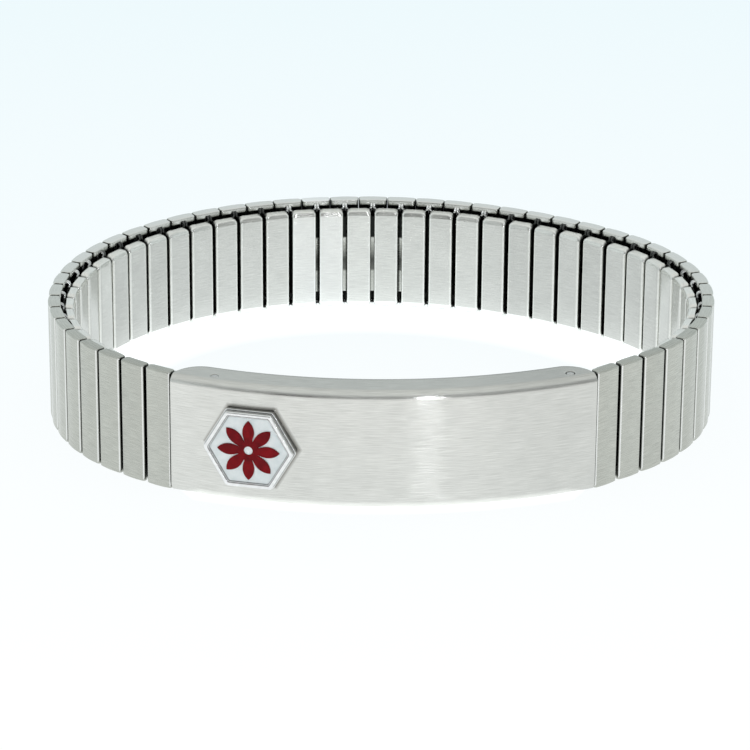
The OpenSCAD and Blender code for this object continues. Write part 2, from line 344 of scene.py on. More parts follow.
# %% [markdown]
# ## Finishes
#
# A finish here is one Principled shader and a few small nodes that feed it: a noise, a change
# of range, a blend of two colours. A picture wrapped round a piece would show its dots from
# near, so every pattern is a formula of the place on the piece. Each helper makes one kind of
# node and hands on its result.

# %% Nodes, ranges and blends
NOISE_LOW = 0.3
NOISE_HIGH = 0.7


def add_node(tree, kind, inputs=None, **settings):
    """New shader node with some of its sockets and settings filled in."""
    node = tree.nodes.new(kind)
    for name, value in settings.items():
        setattr(node, name, value)
    for name, value in (inputs or {}).items():
        if isinstance(value, bpy.types.NodeSocket):
            tree.links.new(value, node.inputs[name])
        else:
            node.inputs[name].default_value = value
    return node


def finish(name, **sockets):
    """Material with one Principled shader, its even values set on the shader's own sockets."""
    material = bpy.data.materials.new(name)
    material.use_nodes = True
    tree = material.node_tree
    shader = tree.nodes["Principled BSDF"]
    for socket, value in sockets.items():
        shader.inputs[socket.replace("_", " ")].default_value = value
    return material, tree, shader


def between(tree, value, low, high, from_low=NOISE_LOW, from_high=NOISE_HIGH):
    """Turns a range of one value into a range of another. The range taken, unless another is
    given, is the one in which a noise mostly stays."""
    stretched = add_node(tree, "ShaderNodeMapRange", {
        "Value": value, "From Min": from_low, "From Max": from_high, "To Min": low, "To Max": high})
    return stretched.outputs["Result"]


def blended(tree, share, first, second):
    """Colour between two others."""
    mix = add_node(tree, "ShaderNodeMix", data_type="RGBA")
    tree.links.new(share, mix.inputs["Factor"])
    for socket, colour in (("A", first), ("B", second)):
        target = [s for s in mix.inputs if s.name == socket and s.type == "RGBA"][0]
        if isinstance(colour, bpy.types.NodeSocket):
            tree.links.new(colour, target)
        else:
            target.default_value = (*colour, 1)
    return [s for s in mix.outputs if s.type == "RGBA"][0]


print("A noise is read from", NOISE_LOW, "to", NOISE_HIGH)

# %% [markdown]
# A pattern also needs sums and products, the place on the piece, and a noise to read there. To
# stand out as relief it becomes a bump. Moving the surface itself would take millions of faces
# for lines as fine as these, and a bump only tilts the light.

# %% Patterns and bumps
def maths(tree, operation, first, second=0.0):
    """Result of one of the Math node's operations."""
    return add_node(tree, "ShaderNodeMath", {0: first, 1: second}, operation=operation).outputs["Value"]


def vector_maths(tree, operation, first, second=(0, 0, 0), result="Vector"):
    """Result of one of the Vector Math node's operations, a vector or else a value."""
    node = add_node(tree, "ShaderNodeVectorMath", {0: first, 1: second}, operation=operation)
    return node.outputs[result]


def own_place(tree):
    """Place on the piece itself, in metres."""
    return add_node(tree, "ShaderNodeTexCoord").outputs["Object"]


def noise(tree, place, scale, detail, roughness=0.5):
    """Values of a noise, which mostly stay near one half."""
    node = add_node(tree, "ShaderNodeTexNoise", {
        "Vector": place, "Scale": scale, "Detail": detail, "Roughness": roughness})
    return node.outputs["Fac"]


def add_bump(tree, shader, height, strength, depth):
    """Bumps on the shader's surface. Heights from 0 to 1 stand for the depth in mm."""
    bump = add_node(tree, "ShaderNodeBump", {
        "Height": height, "Strength": strength, "Distance": depth * MM})
    tree.links.new(bump.outputs["Normal"], shader.inputs["Normal"])


print("A noise of about one wave for each mm has the scale", 1 / MM)

# %% [markdown]
# Each point of a piece carries one number, worked out from where it lies, and it holds the
# steel's own finish and painted light together. A picture would have to be painted for every
# piece. Below 0 the steel darkens: -1 is painted shade, where gaps, grooves and hidden sides lie
# in shadow, and a little below 0 is the duller finish of the flanges and pins. 0 is the plain
# finish, and 1 is polished steel or a painted highlight. The metals' shaders read that number
# and turn it into colour and smoothness.

# %% Wear and painted light
# Dark colour of painted shade and duller steel, and bright colour of painted highlights and polish.
DARK_SKIN_AND_SHADE = (0.02, 0.022, 0.02)
POLISH_AND_HIGHLIGHT = (0.93, 0.935, 0.925)
POLISH_SHARE = 0.5


def weathered_and_painted_light(tree, shader, colour, roughness):
    """Links a colour and a roughness to the shader: darker where the piece's number is below 0,
    for painted shade and duller steel, and brighter and smoother where it is above 0, for
    polished steel and painted highlights."""
    wear_and_painted_light = add_node(tree, "ShaderNodeAttribute", attribute_name="wear_and_painted_light").outputs["Fac"]
    skin_and_shade = between(tree, wear_and_painted_light, 0, 1, 0, -1)
    polish_and_highlight = between(tree, wear_and_painted_light, 0, 1, 0, 1)
    colour = blended(tree, skin_and_shade, blended(tree, polish_and_highlight, colour, POLISH_AND_HIGHLIGHT), DARK_SKIN_AND_SHADE)
    tree.links.new(colour, shader.inputs["Base Color"])
    smooth = between(tree, polish_and_highlight, 1, POLISH_SHARE, 0, 1)
    tree.links.new(maths(tree, "MULTIPLY", roughness, smooth), shader.inputs["Roughness"])


print("Wear darkens steel to", DARK_SKIN_AND_SHADE, "and brightens it to", POLISH_AND_HIGHLIGHT)

# %% [markdown]
# ## Brushed steel
#
# The sleeves are rolled from strip that was brushed lengthwise, so the steel is covered with
# very fine level lines. They do two things: they can just be seen, and they smear a
# reflection across them, which is what gives brushed steel its soft upright highlights. A
# picture of scratches would repeat. A noise stretched far along the band never does, and the
# shader's anisotropy, which follows the same map, does the smearing.

# %% Brushed steel
BRUSH_ROTATION = 0.25
CLOUD_GREY = (0.36, 0.37, 0.36)


def brushed_steel(name, dark, light, rough, line_h, line_l, anisotropy):
    """Steel with level brush lines of a given height and length in mm, after the brush map."""
    material, tree, shader = finish(name, Metallic=1.0, Anisotropic=anisotropy,
                                    Anisotropic_Rotation=BRUSH_ROTATION)
    brush_map = add_node(tree, "ShaderNodeUVMap", uv_map="brush").outputs["UV"]
    lines = vector_maths(tree, "MULTIPLY", brush_map, (1 / line_l, 1 / line_h, 1))
    streaks = noise(tree, lines, 1.0, 3.0, roughness=0.6)
    clouds = noise(tree, own_place(tree), 0.45 / MM, 2.0)
    base = blended(tree, between(tree, streaks, 0, 1), dark, light)
    shade = blended(tree, between(tree, clouds, 0, 0.10), base, CLOUD_GREY)
    weathered_and_painted_light(tree, shader, shade, between(tree, streaks, rough - 0.03, rough + 0.03))
    add_bump(tree, shader, streaks, 0.25, 0.01)
    tangent = add_node(tree, "ShaderNodeTangent", direction_type="UV_MAP", uv_map="brush")
    tree.links.new(tangent.outputs["Tangent"], shader.inputs["Tangent"])
    return material


link_steel = brushed_steel("link_brushed_steel", (0.43, 0.44, 0.40), (0.62, 0.63, 0.575),
                           rough=0.27, line_h=0.09, line_l=1.6, anisotropy=0.85)
# The inner links' steel is a lighter copy of the link steel: painted light for the brighter reflections
# on the inner faces.
inner_steel_painted_lighter = brushed_steel("inner_link_brushed_steel", (0.75, 0.755, 0.72), (0.93, 0.935, 0.895),
                            rough=0.25, line_h=0.09, line_l=1.6, anisotropy=0.9)
plate_steel = brushed_steel("plate_brushed_steel", (0.64, 0.645, 0.61), (0.83, 0.835, 0.80),
                            rough=0.19, line_h=0.08, line_l=2.4, anisotropy=0.98)
print("Brushed steels:", link_steel.name, inner_steel_painted_lighter.name, plate_steel.name)

# %% [markdown]
# ## Tools for sleeves
#
# The sleeves of both rows are short closed boxes of thin strip. Each is worked out as two
# stacks of rings, the outside and the inside of its wall. The band looks the same from its two
# edges, so a stack needs the rings of one half only, and the other half mirrors them.

# %% Sleeves
def capped_sleeve(outside, inside, window):
    """Closed wall of a sleeve, from two stacks of rings that go up. A fan over the middle of
    its first and its last ring closes each stack, and the window faces are left out."""
    groups = closed_stack(*outside.shape[:2], left_out=window)
    sheets = [np.concatenate([rings.reshape(-1, 3), rings[[0, -1]].mean(axis=1)])
              for rings in (outside, inside)]
    return shell(*sheets, groups, bulge=0.05, steps=4)


def from_end(height):
    """Distance from the nearer end of the band."""
    return np.minimum(height, BAND_H - height)


def upside_down(points):
    """The same points mirrored in height: the band's height less their own."""
    return points * [1, 1, -1] + [0, 0, BAND_H]


print("The middle of the band lies", from_end(BAND_H / 2), "mm from both edges")

# %% [markdown]
# ## Outer links
#
# An outer link is a sleeve of thin strip. Its face is a little crowned, its corners towards
# the wrist are rounder than those in front, and near each end a window in its back lets the
# bails out. It could be a bevelled box, but then the windows would have to be cut. As a stack
# of rings it is one grid, the windows are faces left out of it, and the shell closes the wall.

# %% Outer links
LINK_W = 3.2
FACE_EDGE = -0.06
FRONT_CORNER_R = 0.24
BACK_CORNER_R = 0.3
FRONT_EDGE_R = 0.12
BACK_EDGE_R = 0.14
SIDE_DRAW = 0.09
END_DOME = 0.02
SLEEVE_WALL = 0.16
END_WALL = 0.25
WALL_TOP = 0.46
SLOT_TOP = 0.58
WINDOW_TOP = 1.95


def outer_link():
    """One outer link. Each ring is the sleeve's outline, drawn in by r x (1 - cos a) and
    lowered by r x (1 - sin a) where it rounds over the end, and scaled towards the middle on
    the end itself, which is a shallow dome. The upper half mirrors the lower one."""
    half_w, middle = LINK_W / 2, OUTER_T / 2
    corners = box_corners(half_w, FACE_EDGE, OUTER_T)
    corners[2:] = [half_w - SIDE_DRAW + 1j * OUTER_T, -half_w + SIDE_DRAW + 1j * OUTER_T]
    radii = np.array([FRONT_CORNER_R, FRONT_CORNER_R, BACK_CORNER_R, BACK_CORNER_R])
    arc_steps, fractions = 3, [0.04, 0.33, 0.5, 0.67, 0.96]
    outline = rounded_outline(corners, radii, arc_steps, fractions)
    in_front = np.clip(1 - (outline.imag - FACE_EDGE) / 0.3, 0, 1)
    crown = OUTER_CROWN + FACE_EDGE
    outline = outline - 1j * crown * (1 - (outline.real / half_w) ** 2) * in_front
    edge_r = np.interp(outline.imag, [0, OUTER_T], [FRONT_EDGE_R, BACK_EDGE_R])

    ring = np.radians([90, 90, 90, 65, 35, 0, 0, 0, 0, 0, 0, 0, 0])[:, None]
    scale = np.array([0.25, 0.6] + 11 * [1])[:, None]
    height = END_DOME * scale ** 2 + edge_r * (1 - np.sin(ring))
    height[6:] = np.array([WALL_TOP, SLOT_TOP, WINDOW_TOP, 2.1, 4.3, 4.5, 5.7])[:, None]
    draw_in = edge_r * (1 - np.cos(ring))

    def stack(wall, floor):
        x = outline.real * scale * (1 - (draw_in + wall) / half_w)
        y = (outline.imag - middle) * scale * (1 - (draw_in + wall) / (middle + 0.1)) + middle
        lower = solid_points(x + 1j * y, np.maximum(height, floor))
        return np.concatenate([lower, upside_down(lower[::-1])])

    block = arc_steps + 1 + len(fractions)
    back_first = 2 * block + arc_steps + 1
    window = np.zeros((2 * len(ring) - 1, len(outline)), bool)
    window[6, back_first + 1:back_first + 3] = True
    window[7, back_first:back_first + 4] = True
    window |= window[::-1]
    return capped_sleeve(stack(0, 0), stack(SLEEVE_WALL, END_WALL), window)


link_points, link_faces, _, link_through = outer_link()
link_count = len(outer_seats)
print("One outer link has", len(link_points), "points")

# %% [markdown]
# No two sleeves of a real band sit quite alike. Each leans by a fraction of a degree and lies a
# hair further in, and where the band bends to the plate it shows wider gaps. The leans and
# pushes could be set by hand, link by link. Random numbers from a fixed seed do it in two lines,
# and the band comes out the same every time.

# %% A band of outer links
OUTER_LEAN = 0.4
OUTER_PUSH = 0.012
FROM_PLATE = [0, 1, 2, 3, 14, 16]
WIDTH_THERE = [0.925, 0.925, 0.94, 0.955, 0.955, 1]

jitter = np.random.default_rng(7)
lean = jitter.normal(0, OUTER_LEAN, link_count)
push = abs(jitter.normal(0, OUTER_PUSH, link_count))
number = np.arange(link_count)
widths = np.interp(np.minimum(number, number[::-1]), FROM_PLATE, WIDTH_THERE)
narrowed = np.repeat(link_points[None], link_count, axis=0)
narrowed[..., 0] *= widths[:, None]
outer_points = at_seats(narrowed, outer_seats + 1j * push * along, outer_heading + np.radians(lean))


def brush_places(points, count, step_along, step_up):
    """Brush map of all the links: across the face and up it, turned over the ends and the
    sides, and moved on from link to link so that no two have the same lines."""
    flat = np.stack([points[:, 0] + 0.2 * points[:, 1], points[:, 2] + points[:, 1]], axis=-1)
    moved = np.arange(count)[:, None] * [step_along, step_up]
    return (flat[None] + moved[:, None]).reshape(-1, 2)


print("Widths of the outer links from", round(LINK_W * widths.min(), 2), "to", LINK_W, "mm")

# %% [markdown]
# The links' colour carries painted light and shade. Painted highlights lie on the rounded front
# corners, on the lower end and on the ends, which are painted lighter towards the back of the
# band. Painted shade darkens the sleeves' sides and backs, where the gaps between them lie in
# shadow, and where the gaps at the back let one look through, painted glints lie on the wall
# behind. All of that is one number for each point, worked out from where on the link the point
# lies.

# %% Painted light and shade on the outer links
NEAR_END = 0.06
# Painted glints in the gaps at the back: where along the band, how far either way, and a share by
# height.
GLINT_MIDDLE = -2.1
GLINT_REACH = 6.0
GLINT_Z = [1.9, 2.1, 4.3, 4.5, 5.7, 7.0, 8.2, 8.4]
GLINT_SHARE = [1.15, 1.15, 1.1, 0.3, 0.15, 0.7, 1.3, 0]
# Painted highlight: where along the band's back the ends catch the lamp.
LIGHT_SPOT = -6.6
TONE_SPREAD = 0.025


def painted_gap_shade(points, through, first_depth, end_depth):
    """Share of painted shade: 0 on the face and the ends of a sleeve, and 1 inside it, and where a
    point lies behind the first depth and further from the ends than the end depth, in the gaps
    between the sleeves that lie in shadow."""
    # Painted shade behind the first depth and away from the ends.
    behind = np.clip((points[:, 1] - first_depth) / 0.12, 0, 1)
    past_end = np.clip((from_end(points[:, 2]) - end_depth) / 0.1, 0, 1)
    return np.maximum(behind * past_end, through)


def corner_painted_light():
    """Painted light by place on an outer link: painted highlights on the front corners with painted
    shade on the sides beyond them, a little painted light on the wrist side near the ends, and
    ends painted darker towards their sides."""
    x, y, z = link_points.T
    sideways = abs(x) - LINK_W / 2 + FRONT_CORNER_R
    # Painted highlight on the rounded front corners, painted shade on the sides beyond them.
    front = np.interp(sideways, [0.03, 0.08, 0.17, 0.19], [0, 1.0, 0.9, -0.9])
    wear_and_painted_light = np.where(y < 0.3, front, -0.9 * (sideways > 0.08))
    wrist_side = (y > 0.8) & (from_end(z) < WALL_TOP + 0.02) & (sideways < 0.1)
    wear_and_painted_light = np.where(wrist_side, 0.4, wear_and_painted_light)
    return np.where(from_end(z) < NEAR_END, -0.5 * (sideways > 0.12), wear_and_painted_light)


def outer_tone_and_painted_light():
    """Colour number of every outer link: its corners' painted light, less the painted shade in the
    gaps, which painted glints take back on the wall behind the gaps at the band's back. The ends
    are painted lighter towards the band's back, the lower end and the ends of the links that catch
    the light get painted highlights, and each link has a random tone."""
    y, z = link_points[:, 1:].T
    # Painted glints: a share by height on the back wall of the links near the glint place.
    glinting = np.interp(z, GLINT_Z, GLINT_SHARE) * ((y > OUTER_T - 0.02) & (z > 1.0))
    at_back = outer_seats.imag > 0
    in_reach = (abs(outer_seats.real - GLINT_MIDDLE) < GLINT_REACH) & at_back
    # Painted shade in the gaps, taken back where the painted glints lie.
    skin_and_shade = painted_gap_shade(link_points, link_through, 0.25, WALL_TOP + 0.02)
    wear_and_painted_light = corner_painted_light() - skin_and_shade * (1 - in_reach[:, None] * glinting)
    # The ends are painted lighter towards the back of the band and a little darker at its front.
    end_painted_light = np.interp(outer_seats.imag, [-15, 10], [-0.12, 0.6])[:, None]
    wear_and_painted_light = wear_and_painted_light + end_painted_light * (from_end(z) < NEAR_END)
    # Painted highlight on the back part of the lower end.
    wear_and_painted_light = np.where(z < 0.2, 0.8 * (y > 0.3), wear_and_painted_light)
    # Painted highlight on the upper ends of the links where they catch the light.
    caught = (abs(outer_seats.real - LIGHT_SPOT) < 1.7) & at_back
    wear_and_painted_light = np.where(caught[:, None] & (z > BAND_H - NEAR_END), 1, wear_and_painted_light)
    tone = jitter.normal(0, TONE_SPREAD, link_count)[:, None]
    print("Links with a rubbed back:", np.count_nonzero(in_reach))
    return np.clip(wear_and_painted_light + np.where(wear_and_painted_light > -0.2, tone, 0), -1, 1)


piece("sleeve_links_outer",
      (outer_points.reshape(-1, 3), copies(link_faces, link_count, len(link_points)),
       brush_places(link_points, link_count, 7.3, 17.1), outer_tone_and_painted_light().ravel()),
      link_steel, "link_steel", "outer_links")

# %% [markdown]
# ## Inner links
#
# The inner row has smaller sleeves, half a step on, and 0.7 mm lower than the band's edge.
# Their ends fall a little towards the wrist and have round shoulders, and below the lip a
# narrow bevel leads to the face. A Bevel modifier would round every edge alike, so the stack
# of rings serves again, with another rule for each ring: the half width follows a quarter
# circle, and the depth follows the bevel.

# %% Inner links
INNER_W = 2.62
INNER_T = 1.0
INNER_WALL = 0.12
INNER_END_WALL = 0.2
INNER_DROP = 0.7
LIP = 0.85
TOP_CORNER_R = 0.45
TOP_FALL = 0.1
BEVEL_H = 0.6


def inner_link():
    """One inner link. Going down from the end, the half width grows as r x sin a and the
    ring drops by r x (1 - cos a), until the shoulder is round. The depth towards the wrist
    grows from the lip to the full depth along the bevel."""
    turn = np.radians([0, 0, 0, 25, 50, 75, 90])
    below = np.concatenate([TOP_CORNER_R * (1 - np.cos(turn)), [BEVEL_H - 0.06, BEVEL_H, 2.0, 4.5]])
    below = below[:, None]
    shoulder = np.concatenate([TOP_CORNER_R * (1 - np.sin(turn)), [0, 0, 0, 0]])
    scale = np.concatenate([[0.3, 0.65], np.ones(len(below) - 2)])[:, None]
    front = np.interp(below, [0, 0.05, 0.16], [0.1, 0.04, 0])
    back = np.interp(below, [0, 0.045, 0.16, BEVEL_H - 0.06, BEVEL_H],
                     [LIP - 0.08, LIP, LIP + 0.035, INNER_T - 0.02, INNER_T])
    middle = LIP / 2
    fractions = [0.12, 0.5, 0.88]

    def stack(wall, floor):
        corners = box_corners(INNER_W / 2 - shoulder - wall, front[:, 0] + wall, back[:, 0] - wall)
        radii = np.array([0.12, 0.12, 0.25, 0.25]) - wall / 2
        outline = rounded_outline(corners, radii, 3, fractions)
        plan = (outline - 1j * middle) * scale + 1j * middle
        fall = TOP_FALL * plan.imag / LIP * np.clip(1 - below / BEVEL_H, 0, 1)
        upper = solid_points(plan, BAND_H - INNER_DROP - np.maximum(below, floor) - fall)[::-1]
        return np.concatenate([upside_down(upper[::-1]), upper])

    outside = stack(0, 0)
    window = np.zeros((outside.shape[0] - 1, outside.shape[1]), bool)
    window[5:9, 4:6] = True
    window |= window[::-1]
    return capped_sleeve(outside, stack(INNER_WALL, INNER_END_WALL), window)


inner_shape, inner_faces, _, inner_through = inner_link()
inner_map = brush_places(inner_shape, 1, 0, 0)
print("One inner link has", len(inner_shape), "points")

# %% [markdown]
# The inner row lies against the wrist. Its faces carry painted light: a painted highlight in
# the middle of the back, where they catch the light, and painted shade towards the sides. The
# same number for each point says so, and the shader turns it into colour and smoothness.

# %% A band of inner links
INNER_LEAN = 0.7
INNER_PUSH = 0.015
TURNED_LINK = 24
TURNED_BY = -1.75
# Painted shade on faces turned towards the sides, and a painted highlight near the light spot.
SIDE_PAINTED_SHADE = 0.38
CAUGHT_LIGHT = 0.35
END_PART = INNER_DROP + BEVEL_H - 0.02


def one_inner_painted_light():
    """Colour number of one inner link: painted shade on the side towards the gap between the rows,
    a painted highlight on the lower bevel, and a fainter one on the strips along its sides."""
    x, y, z = inner_shape.T
    # Painted shade on the side that faces the gap between the rows, away from the ends.
    skin_and_shade = painted_gap_shade(inner_shape * [1, -1, 1], inner_through, -0.68, INNER_DROP + 0.3)
    on_lower_bevel = (z < END_PART) & (y > LIP - 0.02)
    on_side = (abs(x) > INNER_W / 2 - 0.22) & (y > 0.72)
    # Painted highlights on the lower bevel and on the side strips.
    return np.where(skin_and_shade > 0, -skin_and_shade, np.maximum(0.6 * on_lower_bevel, 0.35 * on_side))


def inner_row_tone_and_painted_light():
    """Colour number of the whole row: on the faces, painted light that depends on where the link
    stands, lighter near the light spot and darker towards the sides, and a random tone.
    """
    caught = (abs(middle_seats.real - LIGHT_SPOT) < 3.0) & (middle_seats.imag > 0)
    # Painted highlight near the light spot, painted shade as the face turns to the side.
    tone = CAUGHT_LIGHT * caught - SIDE_PAINTED_SHADE * abs(np.sin(middle_heading))
    tone = (tone + jitter.normal(0, 0.02, inner_count))[:, None]
    on_face = (inner_painted_light > -0.2) & (from_end(inner_shape[:, 2]) > END_PART)
    return np.clip(inner_painted_light[None] + np.where(on_face, tone, 0), -1, 1)


inner_painted_light = one_inner_painted_light()
middle_seats, middle_heading = inner_seats[1:-1], heading[1:-1]
inner_count = len(middle_seats)
lean = jitter.normal(0, INNER_LEAN, inner_count)
lean[TURNED_LINK] = TURNED_BY
push = jitter.normal(0, INNER_PUSH, inner_count)
places = middle_seats + 1j * push * np.exp(1j * middle_heading)
inner_points = at_seats(inner_shape, places, middle_heading + np.radians(lean))
piece("sleeve_links_inner",
      (inner_points.reshape(-1, 3), copies(inner_faces, inner_count, len(inner_shape)),
       brush_places(inner_shape, inner_count, 5.7, 19.3), inner_row_tone_and_painted_light().ravel()),
      inner_steel_painted_lighter, "link_steel", "inner_links")

# %% [markdown]
# ## Bails
#
# Two wire bails join every outer link to the inner links behind it. Each is a tall closed
# loop of drawn wire that crosses the gap between the rows above and below, with a leg in each
# sleeve. All 94 bails are worked out together, because only their places and their angles
# differ. A spline would round their bends, but cutting the corners of a route twice does it as
# well and takes two lines.

# %% Lines of the bails
LEG_OFFSET = 0.14
OUTER_LEG_DEPTH = 0.55
ROW_MIDDLE = OUTER_T + ROW_GAP / 2
INNER_LEG_DEPTH = inner_depth + 0.4
CROSSING_Z = 12.3
DIP_Z = 11.5


def cut_corners(loops):
    """Closed loops with softer bends: each stretch keeps its points at 1/4 and at 3/4."""
    ahead = np.roll(loops, -1, axis=1)
    kept = np.stack([0.75 * loops + 0.25 * ahead, 0.25 * loops + 0.75 * ahead], axis=2)
    return kept.reshape(len(loops), -1, 3)


def bail_lines():
    """Middle lines of all bails. A route's points are given beside the outer link's seat or
    the inner link's mark: along the band towards the other link, depth, and height."""
    outer_way = [(LEG_OFFSET, OUTER_LEG_DEPTH, CROSSING_Z - 0.5),
                 (LEG_OFFSET, OUTER_LEG_DEPTH, CROSSING_Z),
                 (LEG_OFFSET, ROW_MIDDLE, CROSSING_Z),
                 (LEG_OFFSET, ROW_MIDDLE, CROSSING_Z - 0.55)]
    inner_way = [(0.42, ROW_MIDDLE, DIP_Z),
                 (LEG_OFFSET, INNER_LEG_DEPTH - 0.3, DIP_Z - 0.1),
                 (LEG_OFFSET, INNER_LEG_DEPTH, DIP_Z - 0.1),
                 (LEG_OFFSET, INNER_LEG_DEPTH, DIP_Z - 0.6)]
    lines = []
    for side, hand in ((0, -1), (1, 1)):
        inner_axis = np.exp(1j * heading[side:link_count + side])
        mark = marks[side:link_count + side]
        route = [solid_points(outer_seats + (hand * x + 1j * y) * along, z) for x, y, z in outer_way]
        route += [solid_points(mark + (-hand * x + 1j * y) * inner_axis, z) for x, y, z in inner_way]
        upper = np.stack(route, axis=1)
        lines.append(np.concatenate([upper, upside_down(upper[:, ::-1])], axis=1))
    return cut_corners(cut_corners(np.concatenate(lines)))


bail_middles = bail_lines()
print("Bails:", len(bail_middles), "with", bail_middles.shape[1], "points along each")

# %% [markdown]
# A loop of wire is a circle carried along a path: at every point of the path, a small ring
# stands square to the way the wire runs. A curve with a round bevel would do that for one bail
# after the other, and arrays do it for all of them in one go. The wire was drawn bright. Its
# crossings in the middle of the back get painted highlights, its foot painted light, and the
# rest of it painted shade.

# %% Bails
WIRE = 0.28
WIRE_SIDES = 6


def drawn_wire():
    """Bright drawn wire: nearly even steel, a little cloudy in tone and gloss."""
    material, tree, shader = finish("drawn_wire", Metallic=1.0)
    grain = noise(tree, own_place(tree), 6 / MM, 3.0)
    steel = blended(tree, between(tree, grain, 0, 1), (0.66, 0.67, 0.66), (0.86, 0.87, 0.86))
    weathered_and_painted_light(tree, shader, steel, between(tree, grain, 0.24, 0.36))
    return material


def bails(line):
    """Every bail: a ring round each point of its line. The ring lies square to the line: one
    axis is tangent x the way across the loop, the other stands square to both."""
    tangent = unit(np.roll(line, -1, axis=1) - np.roll(line, 1, axis=1))
    leg_to_leg = line[:, 16:17] - line[:, :1]
    loop_normal = unit(np.cross(leg_to_leg, [0, 0, 1]))
    first_axis = unit(np.cross(tangent, loop_normal))
    second_axis = np.cross(tangent, first_axis)
    angle = (np.arange(WIRE_SIDES) * 2 * np.pi / WIRE_SIDES)[:, None]
    ring = np.cos(angle) * first_axis[:, :, None] + np.sin(angle) * second_axis[:, :, None]
    faces = grid_faces(line.shape[1], WIRE_SIDES, closed_rows=True, closed_columns=True)
    return line[:, :, None] + WIRE / 2 * ring, faces.reshape(-1, 4), line.shape[1] * WIRE_SIDES


def bail_painted_light(points, points_each):
    """Colour number of the wires: painted highlights on the upper crossings in the middle of the
    back, painted shade on the crossings beside them, at the front and on the rest of the wire, a
    faint highlight at the far sides, and painted light again at the foot."""
    seats = points.reshape(-1, points_each, 3).mean(axis=1)
    # Painted highlights on the upper crossings at the middle of the back, painted shade beside them and
    # at the front.
    shine = np.interp(abs(seats[:, 0] - 1), [10, 13, 30, 32], [1.0, -0.9, -0.9, 0.1])
    shine = np.where(seats[:, 1] > 0, shine, -0.3)
    # Below the upper crossings the wire is painted dark: painted shade.
    wear_and_painted_light = np.where(BAND_H - points[:, 2] < 0.8, np.repeat(shine, points_each), -1)
    # Painted light on the lowest part of each loop.
    return np.where(points[:, 2] < 0.62, 0.8, wear_and_painted_light)


bail_points, bail_faces, points_each = bails(bail_middles)
bail_count = len(bail_points)
bail_points = bail_points.reshape(-1, 3)
wire_steel = drawn_wire()
piece("wire_bails",
      (bail_points, copies([bail_faces], bail_count, points_each), bail_points[:, [0, 2]],
       bail_painted_light(bail_points, points_each)), wire_steel, "bail_wire", "link_bails")

# %% [markdown]
# ## Name plate
#
# The plate is one strip of half millimetre steel, bent to the wrist's curve, with both long
# edges folded back as flanges. A flange ends in a big round corner at each end, and two
# holes take the pins. It could be modelled flat and bent afterwards. It is modelled bent here,
# because one formula, a turn about the bend's centre and a depth behind the face, then gives
# every place on it and on all that it carries.

# %% Bend of the plate
PLATE_R = 53.5
PLATE_PROUD = 0.5
PLATE_GAP = 0.06
RIM_BULGE = 0.08
PIN_DEPTH = 1.5
RIGHT_PIN_IN = 2.4
LEFT_PIN_IN = 4.3

plate_centre = 1j * math.sqrt((PLATE_R - PLATE_PROUD) ** 2 - half_chord ** 2) - origin
plate_half_turn = math.asin(half_chord / (PLATE_R - PLATE_PROUD)) - PLATE_GAP / PLATE_R
plate_half = PLATE_R * plate_half_turn - RIM_BULGE
right_pin_turn = plate_half_turn - RIGHT_PIN_IN / PLATE_R
left_pin_turn = LEFT_PIN_IN / PLATE_R - plate_half_turn


def on_plate(turn, depth):
    """Plan point at an angle from the plate's middle and a depth behind its face."""
    return plate_centre - 1j * (PLATE_R - depth) * np.exp(1j * turn)


print("The plate turns through", round(2 * math.degrees(plate_half_turn), 1), "degrees")

# %% [markdown]
# The plate's section is a short table of levels: up the face, round the fold, and back along
# the flange. It is carried along the plate in columns. They crowd towards the ends, to follow
# the flange's round corners, and stand evenly beside each pin, ready for a hole. The same grid
# half a millimetre further in is the inside of the sheet.

# %% Section and columns of the plate
SHEET = 0.5
FLANGE_DEPTH = 3.5
FOLD_R = 0.9
CORNER_R = 3.0
HOLE_CELLS = 8
HOLE_BLOCK = 1.24
BEYOND_HOLE = [0.62, 0.76, 0.9, 1]
FLANGE_SKIN = -0.22


def plate_columns():
    """Distances along the face, left to right, and the first column of each hole's block.
    Towards an end they crowd as 1 - cos(angle), to follow the flange's round corner."""
    left_block = LEFT_PIN_IN - RIM_BULGE - HOLE_BLOCK / 2
    right_block = RIGHT_PIN_IN - RIM_BULGE - HOLE_BLOCK / 2
    left_arc = CORNER_R * (1 - np.cos(np.radians(np.linspace(0, 90, 13))))
    right_arc = right_block * (1 - np.cos(np.radians(np.linspace(0, 90, 9))))
    block = np.linspace(0, HOLE_BLOCK, HOLE_CELLS + 1)
    left_part = np.concatenate([left_arc, left_block + block])
    right_part = np.concatenate([right_arc[:-1], right_block + block])
    middle = np.linspace(left_part[-1] - plate_half, plate_half - right_part[-1], 61)
    columns = np.concatenate([left_part[:-1] - plate_half, middle, plate_half - right_part[::-1][1:]])
    return columns, len(left_arc), len(columns) - len(right_part)


